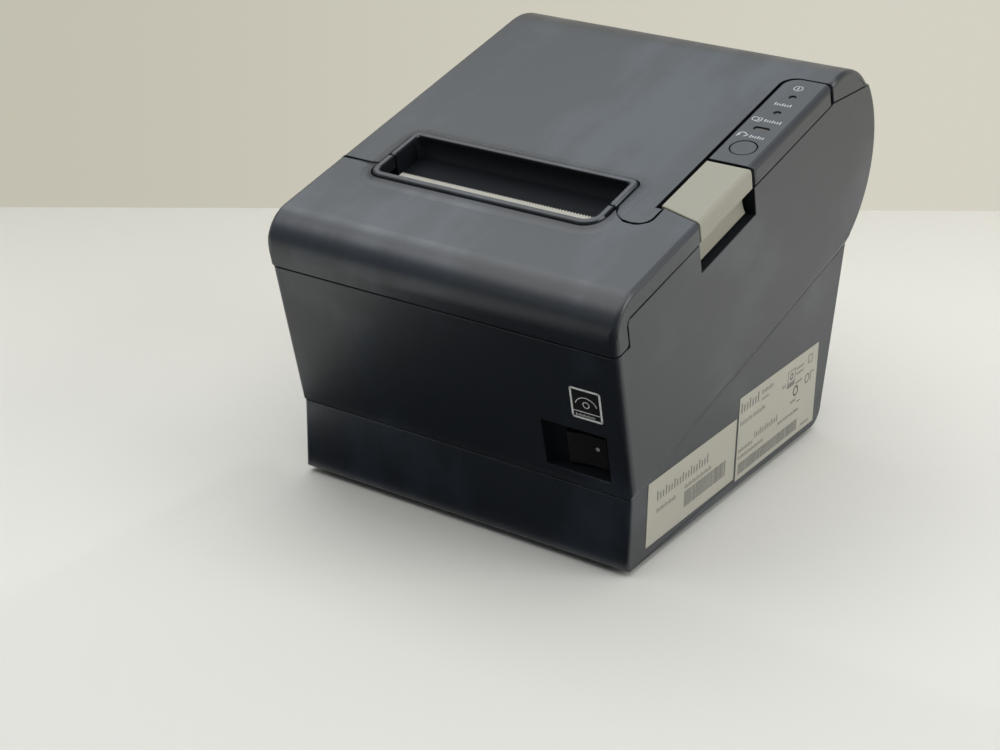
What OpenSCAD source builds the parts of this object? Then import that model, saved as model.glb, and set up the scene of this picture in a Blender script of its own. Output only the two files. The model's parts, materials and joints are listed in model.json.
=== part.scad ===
// Receipt printer with a drop-in paper bin, built from separate casings, frames, shafts and boards.
// X runs to the right as seen from the front, Y to the rear, Z up. The origin is at the middle of
// the footprint, on the surface that the rubber feet stand on.
// The top deck slopes, so parts up there are placed in the deck's own frame: x across,
// t along the slope to the rear, and n square to the deck, upwards.

/* [Overall size] */
// Width across the top covers
overall_w = 145; // [143:0.5:150]
// Depth from the cutter cover to the rear of the side walls
overall_d = 195; // [194:0.5:199]
// Height from the table to the top of the roll cover
overall_h = 148; // [146:0.5:152]
// Slope of the top deck in degrees, rising to the rear
slope = 14.43; // [14:0.01:15]

/* [Casing] */
// Wall of the moulded casings
wall = 2.4; // [1.8:0.1:2.8]
// Visible gap between two casings
seam = 0.6; // [0.3:0.05:0.7]
// How far the top covers reach down the sides
lip_drop = 7.9; // [7:0.1:9]
// How far the cutter cover reaches down the front
skirt_drop = 17.9; // [16:0.1:20]
// Depth of the cutter cover's skirt along the sides
skirt_d = 8.6; // [7:0.1:11]
// Radius of the upright edges at the front corners
corner_r = 3; // [1.5:0.1:4]
// Radius of the cutter cover's rounded front
front_r = 14; // [12:0.5:16]
// Radius of the roll cover's rounded top at the rear
nose_r = 27; // [26:0.5:28]
// Distance of the nose's centre behind the origin
nose_y = 65; // [64:0.5:66]
// Radius of the side walls' round rear
rear_r = 41.3; // [41:0.1:42]
// Height of the centre of the side walls' round rear
rear_axis_h = 111; // [110:0.5:112]
// How far the cutter cover stands out beyond the upper case
cover_step = 0.3; // [0.2:0.05:0.5]

/* [Base] */
// Height of the rubber feet below the base
foot_h = 2.3; // [2:0.1:3]
// Radius of a rubber foot
foot_r = 6; // [5:0.5:7]
// Height of the parting line at the front
part_h = 30.5; // [29:0.5:32]
// Slope of the parting line along the sides in degrees
part_slope = 15.6; // [15.2:0.1:16]
// How far the upper case overhangs the base
undercut = 1.2; // [0.8:0.1:1.6]
// Height of the bevel under that overhang
undercut_h = 3; // [2:0.1:4]
// Rear of the base at the parting line, behind the origin
base_rear_top = 81; // [80:0.5:82]
// Rear of the base near its foot, behind the origin
base_rear_low = 71; // [70:0.5:73]
// Radius of the base's lower rear edge
base_heel_r = 8; // [5:0.5:10]

/* [Paper path] */
// Middle of the paper, left of the origin
paper_x = -6; // [-7:0.5:-5]
// Width of the paper
paper_w = 80; // [79:0.5:81]
// Outer radius of a full paper roll
roll_r = 41.5; // [40:0.5:42]
// Clearance of the roll in its bin
bin_clear = 1.7; // [1.2:0.1:1.9]
// Wall of the roll bin
bin_wall = 1.8; // [1.4:0.1:2]
// Middle of the roll behind the origin
bin_y = 32; // [31:0.5:32.5]
// Height of the middle of the roll
bin_h = 80; // [80:0.5:82]
// Width of the exit slot inside its rim
slot_w = 90.5; // [88:0.5:92]
// Front inner edge of the exit slot on the deck
slot_front = -61; // [-62:0.5:-60]
// Rear inner edge of the exit slot on the deck
slot_rear = -35; // [-36:0.5:-34]
// Width of the raised rim
rim_w = 2.6; // [2:0.1:3]
// Height of the raised rim above the deck
rim_h = 2; // [1:0.1:3]
// Depth of the pocket behind the tear bar
pocket_n = 7; // [6.5:0.1:7.4]
// Distance from the rim's front to the tear bar's teeth
tear_reach = 8.7; // [8:0.1:9]
// Number of teeth on the tear bar
tear_teeth = 68; // [40:1:90]

/* [Lever and panel] */
// Width of the strip that holds the lever and the panel
strip_w = 17.5; // [17:0.1:18]
// Channel between that strip and the roll cover
channel = 1.4; // [1:0.1:1.8]
// Rear end of the lever on the deck
lever_rear = -9.1; // [-10:0.1:-8]
// Front end of the lever at its inner edge
lever_front_in = -41.4; // [-42:0.1:-41]
// Front end of the lever at its outer edge
lever_front_out = -46.3; // [-47:0.1:-46]
// Depth of the finger recess below the deck
recess_n = 19.7; // [19:0.1:20.5]
// Angle that the lever lifts through in degrees
lever_lift = 8; // [5:1:8]
// Rear end of the control panel on the deck
panel_rear = 54.2; // [53:0.5:56]
// Radius of the panel's inner rear corner
panel_r = 6; // [3:0.5:8]
// Radius of the feed button
button_r = 4.8; // [4:0.1:5.2]
// Place of the feed button along the deck
button_t = 2.9; // [1:0.5:5]
// Travel of the feed button
button_travel = 0.8; // [0.4:0.1:1]
// Spacing of the indicators along the deck
led_pitch = 12.2; // [11:0.1:13]
// Place of the lowest indicator along the deck
led_t = 16.7; // [15:0.1:18]
// Radius of a round indicator
led_r = 1.3; // [1:0.1:1.6]

/* [Power switch] */
// Width of the recess round the switch
switch_w = 25.8; // [25:0.1:27]
// Height of that recess
switch_h = 19.4; // [18.5:0.1:20]
// Depth of that recess
switch_d = 4.5; // [4:0.1:5.5]
// Right edge of the recess, right of the origin
switch_right = 64; // [63:0.5:65]
// Width of the rocker
rocker_w = 15.6; // [14:0.1:16]
// Height of the rocker
rocker_h = 13; // [12:0.1:14]
// Tilt of the rocker to either side in degrees
rocker_tilt = 5; // [3:0.5:6]

/* [Print mechanism] */
// Radius of the platen's rubber
platen_r = 6.5; // [6.2:0.1:6.6]
// Radius of the platen's shaft
shaft_r = 2.5; // [2:0.1:2.6]
// Place of the platen along the deck
platen_t = -44.7; // [-45:0.1:-44.5]
// Depth of the platen below the deck
platen_n = 22; // [21.8:0.1:22.4]
// Gap between the platen and the print head
head_gap = 0.3; // [0.2:0.05:0.4]
// Thickness of the sheet-metal parts
sheet = 1.2; // [1:0.1:1.4]
// Angle that the print head can tip back in degrees
head_tip = 1.5; // [1:0.1:1.6]
// Radius of the feed motor
feed_motor_r = 14; // [12:0.5:14]
// Length of the feed motor
feed_motor_l = 19; // [15:0.5:25]
// Radius of the cutter motor
cutter_motor_r = 9; // [8:0.5:9.5]
// Length of the cutter motor
cutter_motor_l = 23; // [18:0.5:26]
// Travel of the moving blade
blade_travel = 8; // [6:0.5:8]

/* [Gears] */
// Module of all gears
gear_m = 0.8; // [0.78:0.01:0.82]
// Teeth of the platen gear
platen_teeth = 24; // [22:1:24]
// Teeth of the idler gear
idler_teeth = 28; // [28:1:30]
// Teeth of the feed pinion
pinion_teeth = 14; // [14:1:15]
// Teeth of the cutter's crank gear
crank_teeth = 30; // [28:1:30]
// Teeth of the cutter's pinion
cutter_pinion_teeth = 14; // [14:1:16]
// Play between meshing teeth
gear_play = 0.16; // [0.12:0.01:0.2]
// Width of the feed gears
gear_w = 4; // [3:0.1:4.2]

/* [Electronics] */
// Thickness of the circuit boards
board = 1.6; // [1.2:0.1:1.8]
// Height of the connector bay at the rear
bay_h = 33.3; // [32:0.5:34]
// Radius of the round power inlet
inlet_r = 4.9; // [4.5:0.1:5.2]
// Depth of the round power inlet
inlet_depth = 9; // [7:0.5:11]

/* [Fits] */
// Radial clearance of a running shaft
run_fit = 0.05; // [0.03:0.01:0.08]
// Radial clearance of a fixed pin or screw
fixed_fit = 0.02; // [0.01:0.01:0.05]
// Clearance between pieces that stay apart
clear = 0.3; // [0.25:0.05:0.4]
// Range that the roll cover opens through in degrees
cover_open = 95; // [80:1:95]

/* [Hidden] */
$fn = 64;

charcoal = [0.20, 0.21, 0.23];
dark = [0.10, 0.10, 0.11];
steel = [0.70, 0.71, 0.73];
pale = [0.74, 0.73, 0.67];
green = [0.08, 0.30, 0.16];
cream = [0.86, 0.84, 0.77];

// Widths, all measured from the middle
cover_x = overall_w / 2;
case_x = cover_x - cover_step;
base_x = case_x - undercut;
case_in = case_x - wall;
base_in = base_x - wall;
lever_x = cover_x - strip_w;
edge_x = lever_x - channel;
tongue_x = lever_x + 1.2;

// The deck: the nose's circle touches it and the overall height
nose_z = overall_h - nose_r;
deck_z = nose_z + nose_r / cos(slope) - nose_y * tan(slope);
front_t = (front_r * (1 - sin(slope)) - overall_d / 2) / cos(slope) - front_r;
case_t = front_t + cover_step + 0.2;
rear_y = overall_d / 2 - rear_r;
back_r = nose_r + norm([nose_y - rear_y, nose_z - rear_axis_h]);
lip_h = deck_height(rear_y, -lip_drop);

function deck_pt(t, n) = [t * cos(slope) - n * sin(slope), deck_z + t * sin(slope) + n * cos(slope)];
function deck_height(y, n) = deck_z + y * tan(slope) + n / cos(slope);
function front_y(z) = deck_pt(case_t, (z - deck_z - case_t * sin(slope)) / cos(slope))[0];
function part_z(y) = part_h + (y - base_front) * tan(part_slope);
base_front = front_y(part_h + undercut_h) + undercut;
base_floor = foot_h + wall;

// Deck seams
seam_t = -54.8;
notch_t = front_t + skirt_d;
slot_x0 = paper_x - slot_w / 2;
slot_x1 = paper_x + slot_w / 2;
rim_split = slot_front + 11;
tongue_r = 5;
tongue_in_r = 7.5;
notch_r = 2.5;

// Hinge of the roll cover
hinge_y = rear_y + 27.3;
hinge_z = rear_axis_h - 25;
hinge_r = 2;
barrel_r = 3.2;
barrel_x = 65.6;

// Print mechanism across the width
rubber_x = paper_w / 2 + 1;
holder_x = rubber_x + 2.4;
cheek_x = holder_x + sheet + 1.8;
gear_x = paper_x - cheek_x - sheet - 3;
bush_r = shaft_r + 1;
head_t = platen_t - platen_r - head_gap;
pivot_t = head_t - 4;
pivot_n = -36;
pivot_r = 1.5;
frame_n = -14.2;
plate_n = frame_n + 1;
blade_n = -10.6;
blade_edge = -54;

// Direction in which the platen leaves its notch as the cover opens, in the deck's frame
hinge_t = hinge_y * cos(slope) + (hinge_z - deck_z) * sin(slope);
hinge_n = (hinge_z - deck_z) * cos(slope) - hinge_y * sin(slope);
lift_dir = [-platen_n - hinge_n, hinge_t - platen_t] / norm([-platen_n - hinge_n, hinge_t - platen_t]);

// Gear centres
platen_pitch = gear_m * platen_teeth / 2;
idler_pitch = gear_m * idler_teeth / 2;
pinion_pitch = gear_m * pinion_teeth / 2;
platen_c = [platen_t, -platen_n];
idler_c = platen_c - (platen_pitch + idler_pitch) * lift_dir;
motor_dir = [-0.75, -0.661];
pinion_c = idler_c + (idler_pitch + pinion_pitch) * motor_dir / norm(motor_dir);
crank_pitch = gear_m * crank_teeth / 2;
cutter_pitch = gear_m * cutter_pinion_teeth / 2;
crank_c = [paper_x, -80];
cutter_dir = [0.9, -0.436];
cutter_c = crank_c + (crank_pitch + cutter_pitch) * cutter_dir / norm(cutter_dir);
crank_r = blade_travel / 2;
crank_pin_r = 1.5;

// Boards and base
chassis_z = 31;
frame_z = chassis_z + sheet;
post_x = 57;
post_r = 3.4;
post_y = [-60, 44];
screw_x = 65;
screw_y = [-66, 63];
main_z = 11.5;
main_x = 51;
main_screw_x = 46;
main_y = [-72, 50];
bay_y = 57;
bay_x = [-58, 46];
foot_x = 57;
foot_y = [-66, 58];

// ---------------------------------------------------------------- helpers

// Everything inside is placed in the deck's frame
module deck() { translate([0, 0, deck_z]) rotate([slope, 0, 0]) children(); }

// A side outline swept across the width
module across(x0, x1) { translate([x0, 0, 0]) rotate([90, 0, 90]) linear_extrude(x1 - x0) children(); }

// A block from its two corners
module block(a, b) { translate(a) cube(b - a); }

// A round rod along X
module rod(x0, x1, r, y, z) { translate([x0, y, z]) rotate([0, 90, 0]) cylinder(r = r, h = x1 - x0); }

// A round rod along Y
module rod_y(y0, y1, r, x, z) { translate([x, y0, z]) rotate([-90, 0, 0]) cylinder(r = r, h = y1 - y0); }

// A rectangle between two corners
module rect(a, b) { translate(a) square(b - a); }

// What a rounded corner takes away: the corner points along the two signs. The arc may cross the
// sides by a little instead of touching them.
module corner_cut(p, r, sx, sy, cross = 0) {
    translate(p) difference() {
        translate([sx > 0 ? -r : -0.01, sy > 0 ? -r : -0.01]) square(r + 0.01);
        translate([-sx * (r - cross), -sy * (r - cross)]) circle(r);
    }
}

// A rectangle with four rounded corners
module soft_rect(a, b, r) {
    difference() {
        rect(a, b);
        corner_cut([a[0], a[1]], r, -1, -1);
        corner_cut([b[0], a[1]], r, 1, -1);
        corner_cut([a[0], b[1]], r, -1, 1);
        corner_cut([b[0], b[1]], r, 1, 1);
    }
}

// Point on an involute at a roll angle in degrees, turned back by start
function involute(rb, a, start) = let (b = a * PI / 180)
    [rb * (cos(a - start) + b * sin(a - start)), rb * (sin(a - start) - b * cos(a - start))];

// A spur gear outline with its first tooth along +X
module gear_outline(teeth) {
    pitch = gear_m * teeth / 2;
    base = pitch * cos(20);
    tip = pitch + 0.9 * gear_m;
    root = pitch - 1.2 * gear_m;
    roll_pitch = sqrt(pow(pitch / base, 2) - 1) * 180 / PI;
    roll_tip = sqrt(pow(tip / base, 2) - 1) * 180 / PI;
    half = 90 / teeth - gear_play / 4 / pitch * 180 / PI + roll_pitch - atan(roll_pitch * PI / 180);
    flank = [for (i = [0:4]) involute(base, roll_tip * i / 4, half)];
    foot = [root * cos(half + 1), -root * sin(half + 1)];
    union() {
        circle(root + 0.01);
        for (k = [0:teeth - 1]) rotate(k * 360 / teeth)
            polygon(concat([[0, 0], foot], flank, [for (i = [4:-1:0]) [flank[i][0], -flank[i][1]]],
                [[foot[0], -foot[1]]]));
    }
}

// Turn of a driven gear so that a gap faces the driver's tooth; dir is the line between them
function mesh_turn(dir, driver_turn, driver_teeth, teeth) = let (a = atan2(dir[1], dir[0]),
    phase = (a - driver_turn) * driver_teeth / 360)
    a + 180 + (phase - floor(phase)) * 360 / teeth + 180 / teeth;

// A coil spring along Z, swept as a faceted tube
module coil(r, wire, turns, length) {
    steps = 14;
    sides = 6;
    rings = steps * turns;
    points = [for (i = [0:rings], j = [0:sides - 1]) let (a = 360 * i / steps, b = 360 * j / sides)
        [(r + wire * cos(b)) * cos(a), (r + wire * cos(b)) * sin(a),
            wire + (length - 2 * wire) * i / rings + wire * sin(b)]];
    faces = concat([[for (j = [sides - 1:-1:0]) j]],
        [for (i = [0:rings - 1], j = [0:sides - 1]) let (k = (j + 1) % sides)
            [i * sides + j, i * sides + k, (i + 1) * sides + k, (i + 1) * sides + j]],
        [[for (j = [0:sides - 1]) rings * sides + j]]);
    polyhedron(points, faces, convexity = 6);
}

// ---------------------------------------------------------------- casings

// Side outline of the upper case, in world y and z
module case_side() {
    difference() {
        union() {
            polygon([[base_front, part_h], [front_y(part_h + undercut_h), part_h + undercut_h],
                deck_pt(case_t, -skirt_drop - seam), deck_pt(notch_t, -skirt_drop - seam),
                deck_pt(notch_t, -lip_drop - seam), [rear_y, lip_h - seam], [rear_y, rear_axis_h],
                [base_rear_top + 1, part_z(base_rear_top) + 4.2],
                [base_rear_top, part_z(base_rear_top)]]);
            intersection() {
                translate([rear_y, rear_axis_h]) circle(rear_r);
                polygon([[rear_y - 1, lip_h - seam], [rear_y + rear_r + 1, lip_h - seam],
                    [rear_y + rear_r + 1, rear_axis_h - 30],
                    [base_rear_top, part_z(base_rear_top)], [rear_y - 1, rear_axis_h]]);
            }
        }
        translate(deck_pt(notch_t, -lip_drop - seam)) rotate(slope)
            corner_cut([0, 0], notch_r, -1, 1, 0.02);
    }
}

// Bevel along the lower side edges, across the parting line
module side_bevel() {
    translate([0, base_front, part_h]) rotate([part_slope, 0, 0]) translate([0, 250, 0])
        rotate([90, 0, 0]) linear_extrude(300)
            polygon([[-base_x, 0], [base_x, 0], [case_x, undercut_h], [case_x, 200],
                [-case_x, 200], [-case_x, undercut_h]]);
}

// Upright round edges at the front, in the deck's frame
module front_corners(x, t) {
    deck() translate([0, 0, -120]) linear_extrude(150) soft_rect([-x, t], [x, 200], corner_r);
}

// Finger recess below the lever, with its bottom and inner wall
recess_front = lever_front_out - seam;
recess_rear = lever_rear + 1.6;
recess_x = cover_x - 12;
pin_t = lever_rear - 2;
pin_n = -4.6;
lever_pin_r = 1.2;
shelf_n = -9;
bearing_x = lever_x + 1.7;

module upper_case() {
    color(charcoal) difference() {
        union() {
            difference() {
                intersection() {
                    across(-case_x, case_x) case_side();
                    side_bevel();
                    front_corners(case_x, case_t);
                }
                deck() block([-case_in, case_t + wall, -150], [case_in, 200, 150]);
                // notch over the finger recess, for the lever
                deck() block([case_in - 1, recess_front, -recess_n], [cover_x + 1, recess_rear, 0]);
            }
            // lip behind the cutter cover's skirt
            deck() block([-case_in + 4, case_t + wall, -skirt_drop - 5],
                [case_in - 4, case_t + 2 * wall, -skirt_drop + 3.5]);
            deck() block([-case_in + 4, case_t + wall - 0.1, -skirt_drop - 5],
                [case_in - 4, case_t + wall, -skirt_drop - 1.5]);
            // finger recess
            deck() difference() {
                block([recess_x - 1.6, recess_front - 1.6, -recess_n - 1.6],
                    [case_x - 1.5, recess_rear + 1.6, shelf_n - 1]);
                block([recess_x, recess_front, -recess_n], [cover_x + 1, recess_rear, 0]);
            }
            // shelf that carries the panel, with two posts under the board and a bearing for the pin
            deck() block([lever_x + 0.6, recess_rear + 1.5, shelf_n - 1.6],
                [case_in + 0.1, panel_rear - 2, shelf_n]);
            deck() for (t = [10, 46]) block([lever_x + 2, t - 2.5, shelf_n - 0.1],
                [case_in + 0.1, t + 2.5, -board_top - board]);
            deck() for (x = [bearing_x, case_in - 2]) difference() {
                union() {
                    block([x, pin_t - 2.4, pin_n - 2.4], [x + 2.1, lever_rear + 5.6, pin_n + 1.5]);
                    block([x, recess_rear + 1.5, shelf_n - 1], [x + 2.1, lever_rear + 5.6, pin_n]);
                }
                rod(x - 1, x + 4, lever_pin_r + fixed_fit, pin_t, pin_n);
            }
            // rear bar with the hinge ears
            intersection() {
                across(-case_in - 0.1, case_in + 0.1) polygon([
                    [base_rear_top - wall - 1, part_z(base_rear_top - wall - 1) + 0.2],
                    [base_rear_top, part_z(base_rear_top) + 0.2],
                    [base_rear_top + 1, part_z(base_rear_top) + 4.2],
                    [base_rear_top, hinge_z - barrel_r - 1],
                    [base_rear_top - wall - 1, hinge_z - barrel_r - 1]]);
                side_bevel();
            }
            for (s = [-1, 1]) across(s > 0 ? barrel_x + clear : -case_in - 0.1,
                s > 0 ? case_in + 0.1 : -barrel_x - clear) {
                translate([hinge_y, hinge_z]) circle(barrel_r + 0.6);
                polygon([[hinge_y - barrel_r - 0.5, hinge_z + 1], [hinge_y + barrel_r, hinge_z - 1],
                    [base_rear_top + 0.6, part_z(base_rear_top) + 3],
                    [base_rear_top - wall - 0.5, part_z(base_rear_top) + 1]]);
            }
            // pocket round the power switch
            deck() block([switch_x0 - 1.8, case_t + 1, switch_n0 - 1.8],
                [switch_right + 1.8, case_t + switch_d + 1.8, switch_n1 + 1.8]);
            // bosses for the case screws
            for (s = [-1, 1], y = screw_y) difference() {
                union() {
                    block([s > 0 ? screw_x : -case_in - 0.1, y - 2, screw_top(y)],
                        [s > 0 ? case_in + 0.1 : -screw_x, y + 2, screw_top(y) + 12]);
                    translate([s * screw_x, y, screw_top(y)]) cylinder(r = 3.2, h = 12);
                }
                translate([s * screw_x, y, screw_top(y) - 1]) cylinder(r = 1.5 + fixed_fit, h = 12);
            }
        }
        deck() block([switch_x0, case_t - 5, switch_n0], [switch_right, case_t + switch_d, switch_n1]);
        deck() block([rocker_x0 - clear, case_t - 5, rocker_n0 - clear],
            [rocker_x1 + clear, case_t + 20, rocker_n1 + clear]);
        rod(-case_in - 1.2, case_in + 1.2, hinge_r + fixed_fit, hinge_y, hinge_z);
    }
}
function screw_top(y) = part_z(y) + 1.5;

switch_x0 = switch_right - switch_w;
switch_n1 = -skirt_drop - 35.2;
switch_n0 = switch_n1 - switch_h;
rocker_x1 = switch_right - 3;
rocker_x0 = rocker_x1 - rocker_w;
rocker_n0 = switch_n0 + 1.6;
rocker_n1 = rocker_n0 + rocker_h;

// Side outline of the base
module base_side(inset) {
    z0 = foot_h + inset;
    lean = (base_rear_top - base_rear_low) / (part_z(base_rear_top) - foot_h - base_heel_r);
    k = sqrt(1 + lean * lean);
    rear_low = base_rear_low - inset * k;
    rear_top = base_rear_top - inset * k;
    heel = max(base_heel_r - inset, 0.5);
    union() {
        polygon([[base_front + inset, z0 + 1], [base_front + inset + 1, z0],
            [rear_low - heel, z0], [rear_low, z0 + heel], [rear_top, part_z(base_rear_top)],
            [rear_top, part_z(rear_top) + inset], [base_front + inset, part_z(base_front) + inset]]);
        intersection() {
            translate([rear_low - heel, z0 + heel]) circle(heel);
            rect([rear_low - heel, z0], [rear_low + 1, z0 + heel]);
        }
    }
}

module lower_case() {
    color(charcoal) difference() {
        difference() {
            across(-base_x, base_x) base_side(0);
            difference() {
                across(-base_in, base_in) base_side(wall);
                // posts for the board, the chassis plate and the case screws
                for (s = [-1, 1]) {
                    for (y = main_y) translate([s * main_screw_x, y * 0.92, 0])
                        cylinder(r = 3, h = main_z);
                    for (y = post_y) translate([s * post_x, y, 0])
                        cylinder(r = post_r, h = chassis_z);
                    for (y = screw_y) {
                        translate([s * screw_x, y, 0]) cylinder(r = 3.2, h = screw_top(y) - 0.2);
                        block([s > 0 ? screw_x : -base_x, y - 1, 0],
                            [s > 0 ? base_x : -screw_x, y + 1, screw_top(y) - 4]);
                    }
                    for (y = bracket_y) translate([s * bracket_x, y, 0])
                        cylinder(r = 3.4, h = base_floor + 4);
                }
                // bosses for the rear plate's screws
                for (x = plate_screw_x, z = plate_screw_z)
                    block([x < 0 ? bay_x[0] - 1 : x - 3, bay_y - 7, z - 3],
                        [x < 0 ? x + 3 : bay_x[1] + 1, bay_y, z + 3]);
                // walls of the connector bay
                block([bay_x[0] - wall, bay_y, 0], [bay_x[0], 100, base_floor + bay_h]);
                block([bay_x[1], bay_y, 0], [bay_x[1] + wall, 100, base_floor + bay_h]);
                block([bay_x[0] - wall, bay_y, base_floor + bay_h],
                    [bay_x[1] + wall, 100, base_floor + bay_h + 1.6]);
            }
        }
        // opening of the connector bay
        block([bay_x[0], bay_y + sheet, base_floor + 3], [bay_x[1], 100, base_floor + bay_h]);
        // cable gap at the foot of the bay
        block([bay_x[0] + 6, base_rear_low - 7, base_floor], [bay_x[1] - 6, 100, base_floor + 4]);
        for (x = plate_screw_x, z = plate_screw_z) rod_y(bay_y - 8, bay_y + 1, 1.4 + fixed_fit, x, z);
        for (s = [-1, 1]) {
            for (y = foot_y) translate([s * foot_x, y, foot_h - 1]) cylinder(r = foot_r + 0.1, h = 1.5);
            for (y = main_y) translate([s * main_screw_x, y * 0.92, main_z - 6])
                cylinder(r = 1 + fixed_fit, h = 7);
            for (y = post_y) translate([s * post_x, y, chassis_z - 8])
                cylinder(r = 1.5 + fixed_fit, h = 9);
            for (y = screw_y) {
                translate([s * screw_x, y, 0]) cylinder(r = 1.5 + clear, h = 100);
                translate([s * screw_x, y, 0]) cylinder(r = 2.9, h = screw_seat);
            }
            for (y = bracket_y) translate([s * bracket_x, y, 0]) cylinder(r = bracket_r, h = bracket_top);
        }
    }
}
screw_seat = 18;
plate_screw_x = [bay_x[0] + 3, bay_x[1] - 3];
plate_screw_z = [base_floor + 3.5, base_floor + bay_h - 4];
bracket_x = 45;
bracket_y = [-30, 30];
bracket_r = 1.3;
bracket_top = base_floor + 3;

// Side outline of the cutter cover in the deck's frame
module cutter_cover_side() {
    rear = notch_t - seam;
    difference() {
        union() {
            rect([front_t, -lip_drop], [-30, 0]);
            rect([front_t, -skirt_drop], [rear, 0]);
            difference() {
                rect([rear - 1, -lip_drop - notch_r], [rear + notch_r, -lip_drop + 1]);
                translate([rear + notch_r, -lip_drop - notch_r]) circle(notch_r);
            }
        }
        corner_cut([front_t, 0], front_r, -1, 1);
        corner_cut([rear, -skirt_drop], 2, 1, -1);
    }
}

// Side outline of its hollow, open at the bottom
module cutter_cover_hollow() {
    difference() {
        rect([front_t + wall, -40], [-20, -wall]);
        corner_cut([front_t + wall, -wall], front_r - wall, -1, 1);
    }
}

// Plan of the cutter cover, without the slot
module cutter_cover_plan() {
    difference() {
        union() {
            rect([-cover_x, front_t], [cover_x, seam_t - seam / 2]);
            rect([slot_x0 - rim_w, seam_t - 1], [slot_x1 + rim_w, rim_split - seam / 2]);
            // round the roll cover's tongue
            intersection() {
                corner_cut([slot_x1 + rim_w, seam_t - seam / 2], tongue_in_r + seam, -1, -1);
                rect([slot_x1, -100], [cover_x, rim_split - seam / 2]);
            }
            corner_cut([tongue_x + seam, seam_t - seam / 2], tongue_r + seam, 1, -1);
            polygon([[tongue_x + seam, seam_t - 1], [cover_x, seam_t - 1],
                [cover_x, lever_front_out - seam],
                [tongue_x + seam, lever_front(tongue_x + seam) - seam]]);
        }
        rect([slot_x0, slot_front], [slot_x1, 0]);
    }
}

// Plan of the raised rim
module rim_plan() {
    difference() {
        rect([slot_x0 - rim_w, slot_front - rim_w], [slot_x1 + rim_w, slot_rear + rim_w]);
        corner_cut([slot_x0 - rim_w, slot_front - rim_w], 5, -1, -1);
        corner_cut([slot_x1 + rim_w, slot_front - rim_w], 7, 1, -1);
        corner_cut([slot_x0 - rim_w, slot_rear + rim_w], 3, -1, 1);
        corner_cut([slot_x1 + rim_w, slot_rear + rim_w], 3, 1, 1);
        difference() {
            rect([slot_x0, slot_front], [slot_x1, slot_rear]);
            corner_cut([slot_x0, slot_front], 2.5, -1, -1);
            corner_cut([slot_x1, slot_front], 4.5, 1, -1);
        }
    }
}

module cutter_cover() {
    color(charcoal) {
        difference() {
            intersection() {
                deck() across(-cover_x, cover_x) cutter_cover_side();
                front_corners(cover_x, front_t);
                deck() translate([0, 0, -60]) linear_extrude(100) cutter_cover_plan();
            }
            deck() across(-cover_x + wall, cover_x - wall) cutter_cover_hollow();
        }
        deck() translate([0, 0, -tear_n]) linear_extrude(tear_n + rim_h) intersection() {
            rim_plan();
            rect([-cover_x, front_t], [cover_x, rim_split - seam / 2]);
        }
    }
}
tear_n = 3;

// Profile of the roll cover's outer skin, inset by d, in world y and z
module roll_cover_skin(d) {
    union() {
        polygon([deck_pt(-100, -60), deck_pt(-100, -d), [nose_y - (nose_r - d) * sin(slope),
            nose_z + (nose_r - d) * cos(slope)], [nose_y, nose_z], [rear_y, rear_axis_h],
            [rear_y, rear_axis_h - 35]]);
        translate([nose_y, nose_z]) circle(nose_r - d);
        // the rear arc starts where it touches the nose's circle
        intersection() {
            translate([rear_y, rear_axis_h]) circle(back_r - d);
            polygon([[rear_y, rear_axis_h], [rear_y, rear_axis_h]
                + 5 * [nose_y - rear_y, nose_z - rear_axis_h], [200, 160], [200, 0], [rear_y, 0]]);
        }
    }
}

// Plan of the roll cover, in the deck's frame
module roll_cover_plan() {
    difference() {
        union() {
            difference() {
                rect([-cover_x, seam_t + seam / 2], [edge_x, 150]);
                rect([tongue_x - tongue_r, -100], [edge_x + 1, lever_front_in - 3]);
            }
            difference() {
                rect([edge_x - 20, seam_t + seam / 2], [tongue_x, lever_front_in - 2]);
                corner_cut([tongue_x, seam_t + seam / 2], tongue_r, 1, -1);
            }
            difference() {
                rect([edge_x - 10, panel_rear - panel_r - 2], [cover_x, 150]);
                difference() {
                    rect([edge_x, panel_rear - panel_r - 3], [cover_x + 1, panel_rear + seam]);
                    corner_cut([edge_x, panel_rear + seam], panel_r + seam, -1, 1);
                }
            }
        }
        rect([slot_x0 - rim_w - 0.01, seam_t - 1], [slot_x1 + rim_w, rim_split + seam / 2]);
        corner_cut([slot_x1 + rim_w, seam_t + seam / 2], tongue_in_r, -1, -1);
        rect([slot_x0, seam_t - 1], [slot_x1, slot_rear]);
    }
}

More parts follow.
